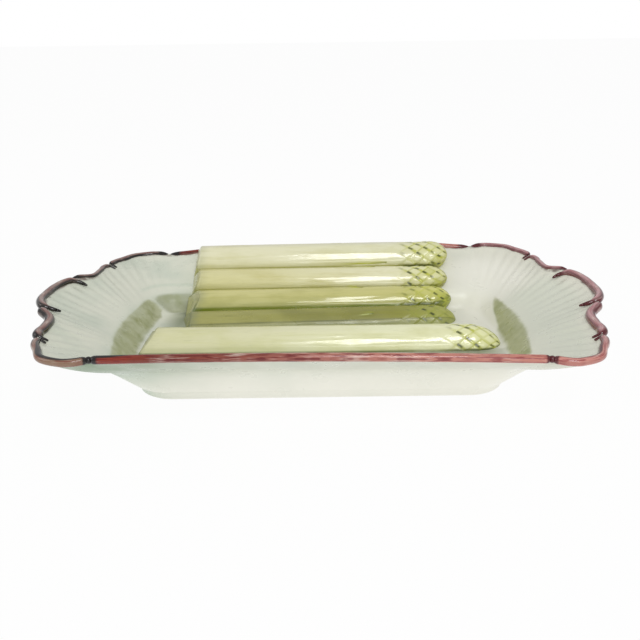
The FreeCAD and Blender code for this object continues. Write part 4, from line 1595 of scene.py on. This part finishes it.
@dataclass
class Scroll:
    """One rolled length of the moulded rim, with an end of its own kind at the start and the stop."""

    node: str
    finish: RimStain
    path: Ring
    bead: float
    start: Finial
    stop: Finial
    is_rail: bool = False
    shy: float = 0.05
    flatness: float = 0.06
    unevenness: float = 0.035
    outer_line: Pair = (0.05, 0.5)
    inner_line: Pair = (0.46, 0.9)
    plate_reach: Pair = (189.5, 125.0)
    around: int = 24

    def build(self) -> None:
        """Sweep a rounded section along the path."""
        spine = resample(self.path, RAIL_SPACING if self.is_rail else SCROLL_SPACING)
        passed = self.distances(spine)
        skin = Skin()
        rows = []
        turns = [2.0 * math.pi * step / self.around for step in range(self.around)]
        for index, place in enumerate(spine):
            ahead = (spine[min(index + 1, len(spine) - 1)] - spine[max(index - 1, 0)]).normalized()
            out, up = self.axes(place, ahead)
            here, left = passed[index], passed[-1] - passed[index]
            radius = min(self.thickness(here, self.start), self.thickness(left, self.stop))
            radius *= 1.0 + self.unevenness * noise.noise(Vector((here * 0.12, place.x * 0.05, 3.0)))
            forward = self.forward(place)
            outer = [limit + forward for limit in self.outer_line]
            inner = [limit - forward for limit in self.inner_line]
            ends = max(smooth(distance, end.dark, end.dark * 0.45)
                       for distance, end in ((here, self.start), (left, self.stop)))
            rows.append(skin.add_row(
                [place + out * (radius * math.cos(t)) + up * (radius * (1.0 - self.flatness) * math.sin(t))
                 for t in turns],
                along=[here * MM] * self.around,
                across=[abs(t - math.pi) * self.bead / 2 * MM for t in turns],
                outer=[self.band(math.cos(t), *outer) for t in turns],
                inner=[self.band(-math.cos(t), *inner) for t in turns],
                ends=[ends] * self.around,
                rail=[float(self.is_rail)] * self.around))
        skin.bridge_all(rows, self.around)
        skin.cap(rows[0], self.around)
        skin.cap(rows[-1], self.around)
        piece = skin.piece(self.node + "_painted", self.finish.shared(), "rim_glaze")
        if self.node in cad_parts:
            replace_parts(piece, self.node)

    def axes(self, place: Vector, ahead: Vector) -> tuple[Vector, Vector]:
        """The section's own axes at a point of the spine.

        Args:
            place: the point.
            ahead: the way the spine runs there.

        Returns:
            The directions out of the plate and up.
        """
        out = ahead.cross(Vector((0.0, 0.0, 1.0))).normalized()
        if out.x * place.x / self.plate_reach[0] + out.y * place.y / self.plate_reach[1] < 0.0:
            out.negate()
        up = out.cross(ahead)
        if up.z < 0.0:
            up.negate()
        return out, up

    def forward(self, place: Vector) -> float:
        """How far the dark lines lie towards the front of the roll, where they are seen from in front.

        Args:
            place: a point of the spine.

        Returns:
            What moves their limits.
        """
        front = smooth(-place.y, 88.0, 114.0)
        if self.is_rail:
            return 1.25 * smooth(-place.x, 88.0, 116.0) * front
        return (0.6 + 0.6 * smooth(-place.x, 110.0, 150.0)) * front

    def band(self, across: float, start: float, full: float) -> float:
        """Strength of an edge line that a rail wears more faintly than a scroll."""
        return smooth(across, start, full) * (0.5 + 0.5 * smooth(start, 0.2, -0.3) if self.is_rail else 1.0)

    def thickness(self, distance: float, end: Finial) -> float:
        """Radius of the roll at a distance from one of its ends.

        Args:
            distance: from that end.
            end: how the roll ends there.

        Returns:
            The radius.
        """
        full = self.bead / 2 * (1.0 - self.shy)
        if distance < end.hook:
            return end.tip_radius + (end.hook_radius - end.tip_radius) * (distance / end.hook) ** 0.6
        grow = math.sin(0.5 * math.pi * clamp((distance - end.hook) / end.ease)) ** 0.8
        return end.hook_radius + (full - end.hook_radius) * grow

    def distances(self, spine: Ring) -> list[float]:
        """Distance of each point of the spine from its start.

        Args:
            spine: the points.

        Returns:
            One distance for each point.
        """
        passed = [0.0]
        for before, here in zip(spine, spine[1:]):
            passed.append(passed[-1] + (here - before).length)
        return passed


@dataclass
class Rim:
    """The moulded rim: two long rails, four corner scrolls, four side scrolls and two end lobes."""

    outline: Outline
    stain: RimStain
    slope: float = FLANGE_SLOPE
    corner_bead: float = 5.2
    rear_side_bead: float = 4.5
    front_side_bead: float = 6.7
    dab_bead: float = 4.6
    dab_reach: float = 1.9
    knot_gap: float = 1.2

    def hooked(self, place: Vector, bead: float, steps: tuple[Place, ...]) -> Ring:
        """Points beside a place of the outline.

        Args:
            place: the notch or volute.
            bead: thickness of the roll.
            steps: how many beads each point lies out, back and down the flange.

        Returns:
            The points.
        """
        fall = math.tan(self.slope)
        return [place + Vector((out * bead, back * bead, -down * bead * fall)) for out, back, down in steps]

    def corner_path(self) -> Ring:
        """Path of the corner scroll where x and y are positive.

        Returns:
            Points along it.
        """
        knot, brow, crest, bow, flank, fall, notch, *_ = self.outline.quadrant()
        start = knot + (brow - knot).normalized() * self.knot_gap
        hook = self.hooked(notch, self.corner_bead, CORNER_HOOK)
        return curve_through([start, brow, crest, bow, flank, fall] + hook, PATH_SPACING)

    def side_path(self) -> Ring:
        """Path of the side scroll where x and y are positive, for the mean of the two beads.

        Returns:
            Points along it.
        """
        *_, notch, hip, waist, hollow, volute = self.outline.quadrant()
        bead = (self.rear_side_bead + self.front_side_bead) / 2
        start, stop = self.hooked(notch, bead, SIDE_HOOK), self.hooked(volute, bead, SIDE_CURL)
        return curve_through(start + [hip, waist, hollow] + stop, PATH_SPACING)

    def end_path(self) -> Ring:
        """Path of the right-hand end lobe.

        Returns:
            Points along it.
        """
        volute, middle = self.outline.quadrant()[-1], self.outline.end_middle()
        bead = self.outline.end_bead
        half = self.hooked(volute, bead, END_HOOK)
        half.append((volute + middle) / 2 + Vector((END_SWELL * bead, 0.0, 0.0)))
        return curve_through(half + [middle] + mirrored(half[::-1], 1, -1), PATH_SPACING)

    def rail_path(self, middle: Vector) -> Ring:
        """Path of a rail on the rear side.

        Args:
            middle: the rail's middle.

        Returns:
            Points along it, short of the knots at its ends.
        """
        knot = self.outline.quadrant()[0]
        other = mirrored([knot], -1, 1)[0]
        arc = arc_through(knot, middle, other, 200)
        return [p for p in arc if min((p - knot).length, (p - other).length) > self.knot_gap]

    def roll(self, name: str, path: Ring, hand: Hand, row: Row, bead: float,
             start: Finial, stop: Finial, is_rail: bool = False) -> None:
        """Build one roll from a path on the rear right.

        Args:
            name: name of the roll's node.
            path: where it would run on the rear right.
            hand: the end it lies at.
            row: the side it lies on.
            bead: its thickness.
            start: how it ends where the path starts.
            stop: how it ends where the path stops.
            is_rail: whether it is one of the long rails.
        """
        placed = [self.outline.settle(point) for point in mirrored(path, hand.value, row.value)]
        Scroll(name, self.stain, placed, bead, start, stop, is_rail).build()

    def build(self) -> None:
        """Build all twelve rolls, and the dabs of clay that close the two front joints."""
        corner, side, end = self.corner_path(), self.side_path(), self.end_path()
        sides = ((Row.REAR, self.outline.rear_middle(), self.rear_side_bead, REAR_KNOT, REAR_KNOT),
                 (Row.FRONT, self.outline.front_middle(), self.front_side_bead, FRONT_KNOT, LEFT_KNOT))
        for row, middle, side_bead, knot, left_knot in sides:
            name = row.name.lower()
            self.roll("rim_rail_" + name, self.rail_path(middle), Hand.RIGHT, row, self.outline.rail_bead,
                      knot, left_knot, is_rail=True)
            for hand in Hand:
                where = f"{name}_{hand.name.lower()}"
                self.roll("rim_corner_" + where, corner, hand, row, self.corner_bead, knot, TICK)
                self.roll("rim_side_" + where, side, hand, row, side_bead, TICK, CURL)
        knot, brow = self.outline.quadrant()[:2]
        step = (brow - knot).normalized() * self.dab_reach
        closing = (("rim_dab_front_", [knot - step, knot, knot + step], Row.FRONT, self.dab_bead, DAB),
                   ("rim_end_", end, Row.REAR, self.outline.end_bead, LONG_TICK))
        for name, path, row, bead, finial in closing:
            for hand in Hand:
                self.roll(name + hand.name.lower(), path, hand, row, bead, finial, finial)


# ---------------------------------------------------------------- studio

@dataclass(frozen=True)
class Lamp:
    """A soft rectangular lamp: its place and aim in metres, its width and height, its power in watts."""

    name: str
    place: Place
    aim: Place
    size: Pair
    power: float

    def build(self) -> None:
        """Hang the lamp and turn it to its aim."""
        lamp = bpy.data.lights.new(self.name, "AREA")
        lamp.shape = "RECTANGLE"
        lamp.size, lamp.size_y = self.size
        lamp.energy = self.power
        thing = bpy.data.objects.new(self.name, lamp)
        thing.location = self.place
        thing.rotation_euler = (Vector(self.aim) - Vector(self.place)).to_track_quat("-Z", "Y").to_euler()
        bpy.context.scene.collection.objects.link(thing)


@dataclass
class Studio:
    """A pale floor, a bright surround, two soft windows in front, a fill at the left, and the camera."""

    focal_px: float = 769.8
    frame_px: float = 640.0
    sensor_mm: float = 36.0
    place_mm: Place = (0.3, -500.5, 208.0)
    pitch: float = math.radians(20.05)
    roll: float = -0.0139
    yaw: float = -0.0009
    sight: Pair = (0.01, 50.0)
    floor_reach: float = 60.0
    floor_colour: str = "#f7f7f5"
    floor_glow: float = 0.85
    seen_glow: float = 0.1
    surround: str = "#ffffff"
    surround_light: float = 0.565
    lamps: tuple[Lamp, ...] = (
        Lamp("front_window", place=(0.3, -1.15, 1.5), aim=(0.0, 0.0, 0.0), size=(0.62, 0.5), power=8.8),
        Lamp("low_window", place=(0.4, -1.5, 0.7), aim=(0.0, 0.0, 0.02), size=(0.9, 0.3), power=2.6),
        Lamp("left_fill", place=(-1.6, -0.2, 0.9), aim=(0.0, 0.0, 0.0), size=(1.0, 1.0), power=3.4),
    )

    def build(self) -> None:
        """Set the floor, the lights and the camera."""
        self.add_floor()
        self.add_world()
        for lamp in self.lamps:
            lamp.build()
        self.add_camera()
        bpy.context.scene.view_settings.view_transform = "Standard"

    def add_floor(self) -> None:
        """A level floor of matt white paper, which glows as white as the backdrop but keeps shadows."""
        mesh = bpy.data.meshes.new("studio_floor")
        reach = self.floor_reach
        corners = [(-reach, -reach, 0.0), (reach, -reach, 0.0), (reach, reach, 0.0), (-reach, reach, 0.0)]
        mesh.from_pydata(corners, [], [(0, 1, 2, 3)])
        floor = bpy.data.objects.new("studio_floor", mesh)
        bpy.context.scene.collection.objects.link(floor)
        material = bpy.data.materials.new("white_paper")
        tree = emptied(material)
        matt = add(tree, DIFFUSE, linear(self.floor_colour))
        glow = add(tree, GLOW, linear(self.surround), 1.0)
        share = add(tree, TIMES_PLUS, add(tree, CAMERA_RAY), self.seen_glow, self.floor_glow)
        add(tree, SURFACE, add(tree, BLEND, share, matt, glow))
        mesh.materials.append(material)

    def add_world(self) -> None:
        """Even white light from all round, seen by the camera as plain white."""
        world = bpy.data.worlds.new("studio")
        bpy.context.scene.world = world
        tree = emptied(world)
        seen = add(tree, BACKGROUND, linear(self.surround), 1.0)
        light = add(tree, BACKGROUND, linear(self.surround), self.surround_light)
        add(tree, SURROUND, add(tree, BLEND, add(tree, CAMERA_RAY), light, seen))

    def add_camera(self) -> None:
        """Put the camera where the photograph was taken from."""
        data = bpy.data.cameras.new("camera")
        data.sensor_width = self.sensor_mm
        data.lens = self.focal_px / self.frame_px * self.sensor_mm
        data.clip_start, data.clip_end = self.sight
        camera = bpy.data.objects.new("camera", data)
        ahead = Vector((math.sin(self.yaw) * math.cos(self.pitch), math.cos(self.yaw) * math.cos(self.pitch),
                        -math.sin(self.pitch)))
        level = ahead.cross(Vector((0.0, 0.0, 1.0))).normalized()
        upright = level.cross(ahead)
        right = level * math.cos(self.roll) + upright * math.sin(self.roll)
        up = upright * math.cos(self.roll) - level * math.sin(self.roll)
        turn = Matrix((right, up, -ahead)).transposed().to_4x4()
        camera.matrix_world = Matrix.Translation(Vector(self.place_mm) * MM) @ turn
        bpy.context.scene.collection.objects.link(camera)
        bpy.context.scene.camera = camera


def main() -> None:
    """Build the plate piece by piece, then set the studio round it."""
    logging.basicConfig(level=logging.INFO, format="%(name)s: %(message)s")
    outline = Outline()
    body = DishGlaze("tin_glazed_faience")
    Dish(outline, body).build()
    Foot(body).build()
    BankBed(body).build()
    for spear in spears():
        spear.build()
    Rim(outline, RimStain("manganese_stain_under_glaze")).build()
    Studio().build()


if __name__ == "__main__":
    main()
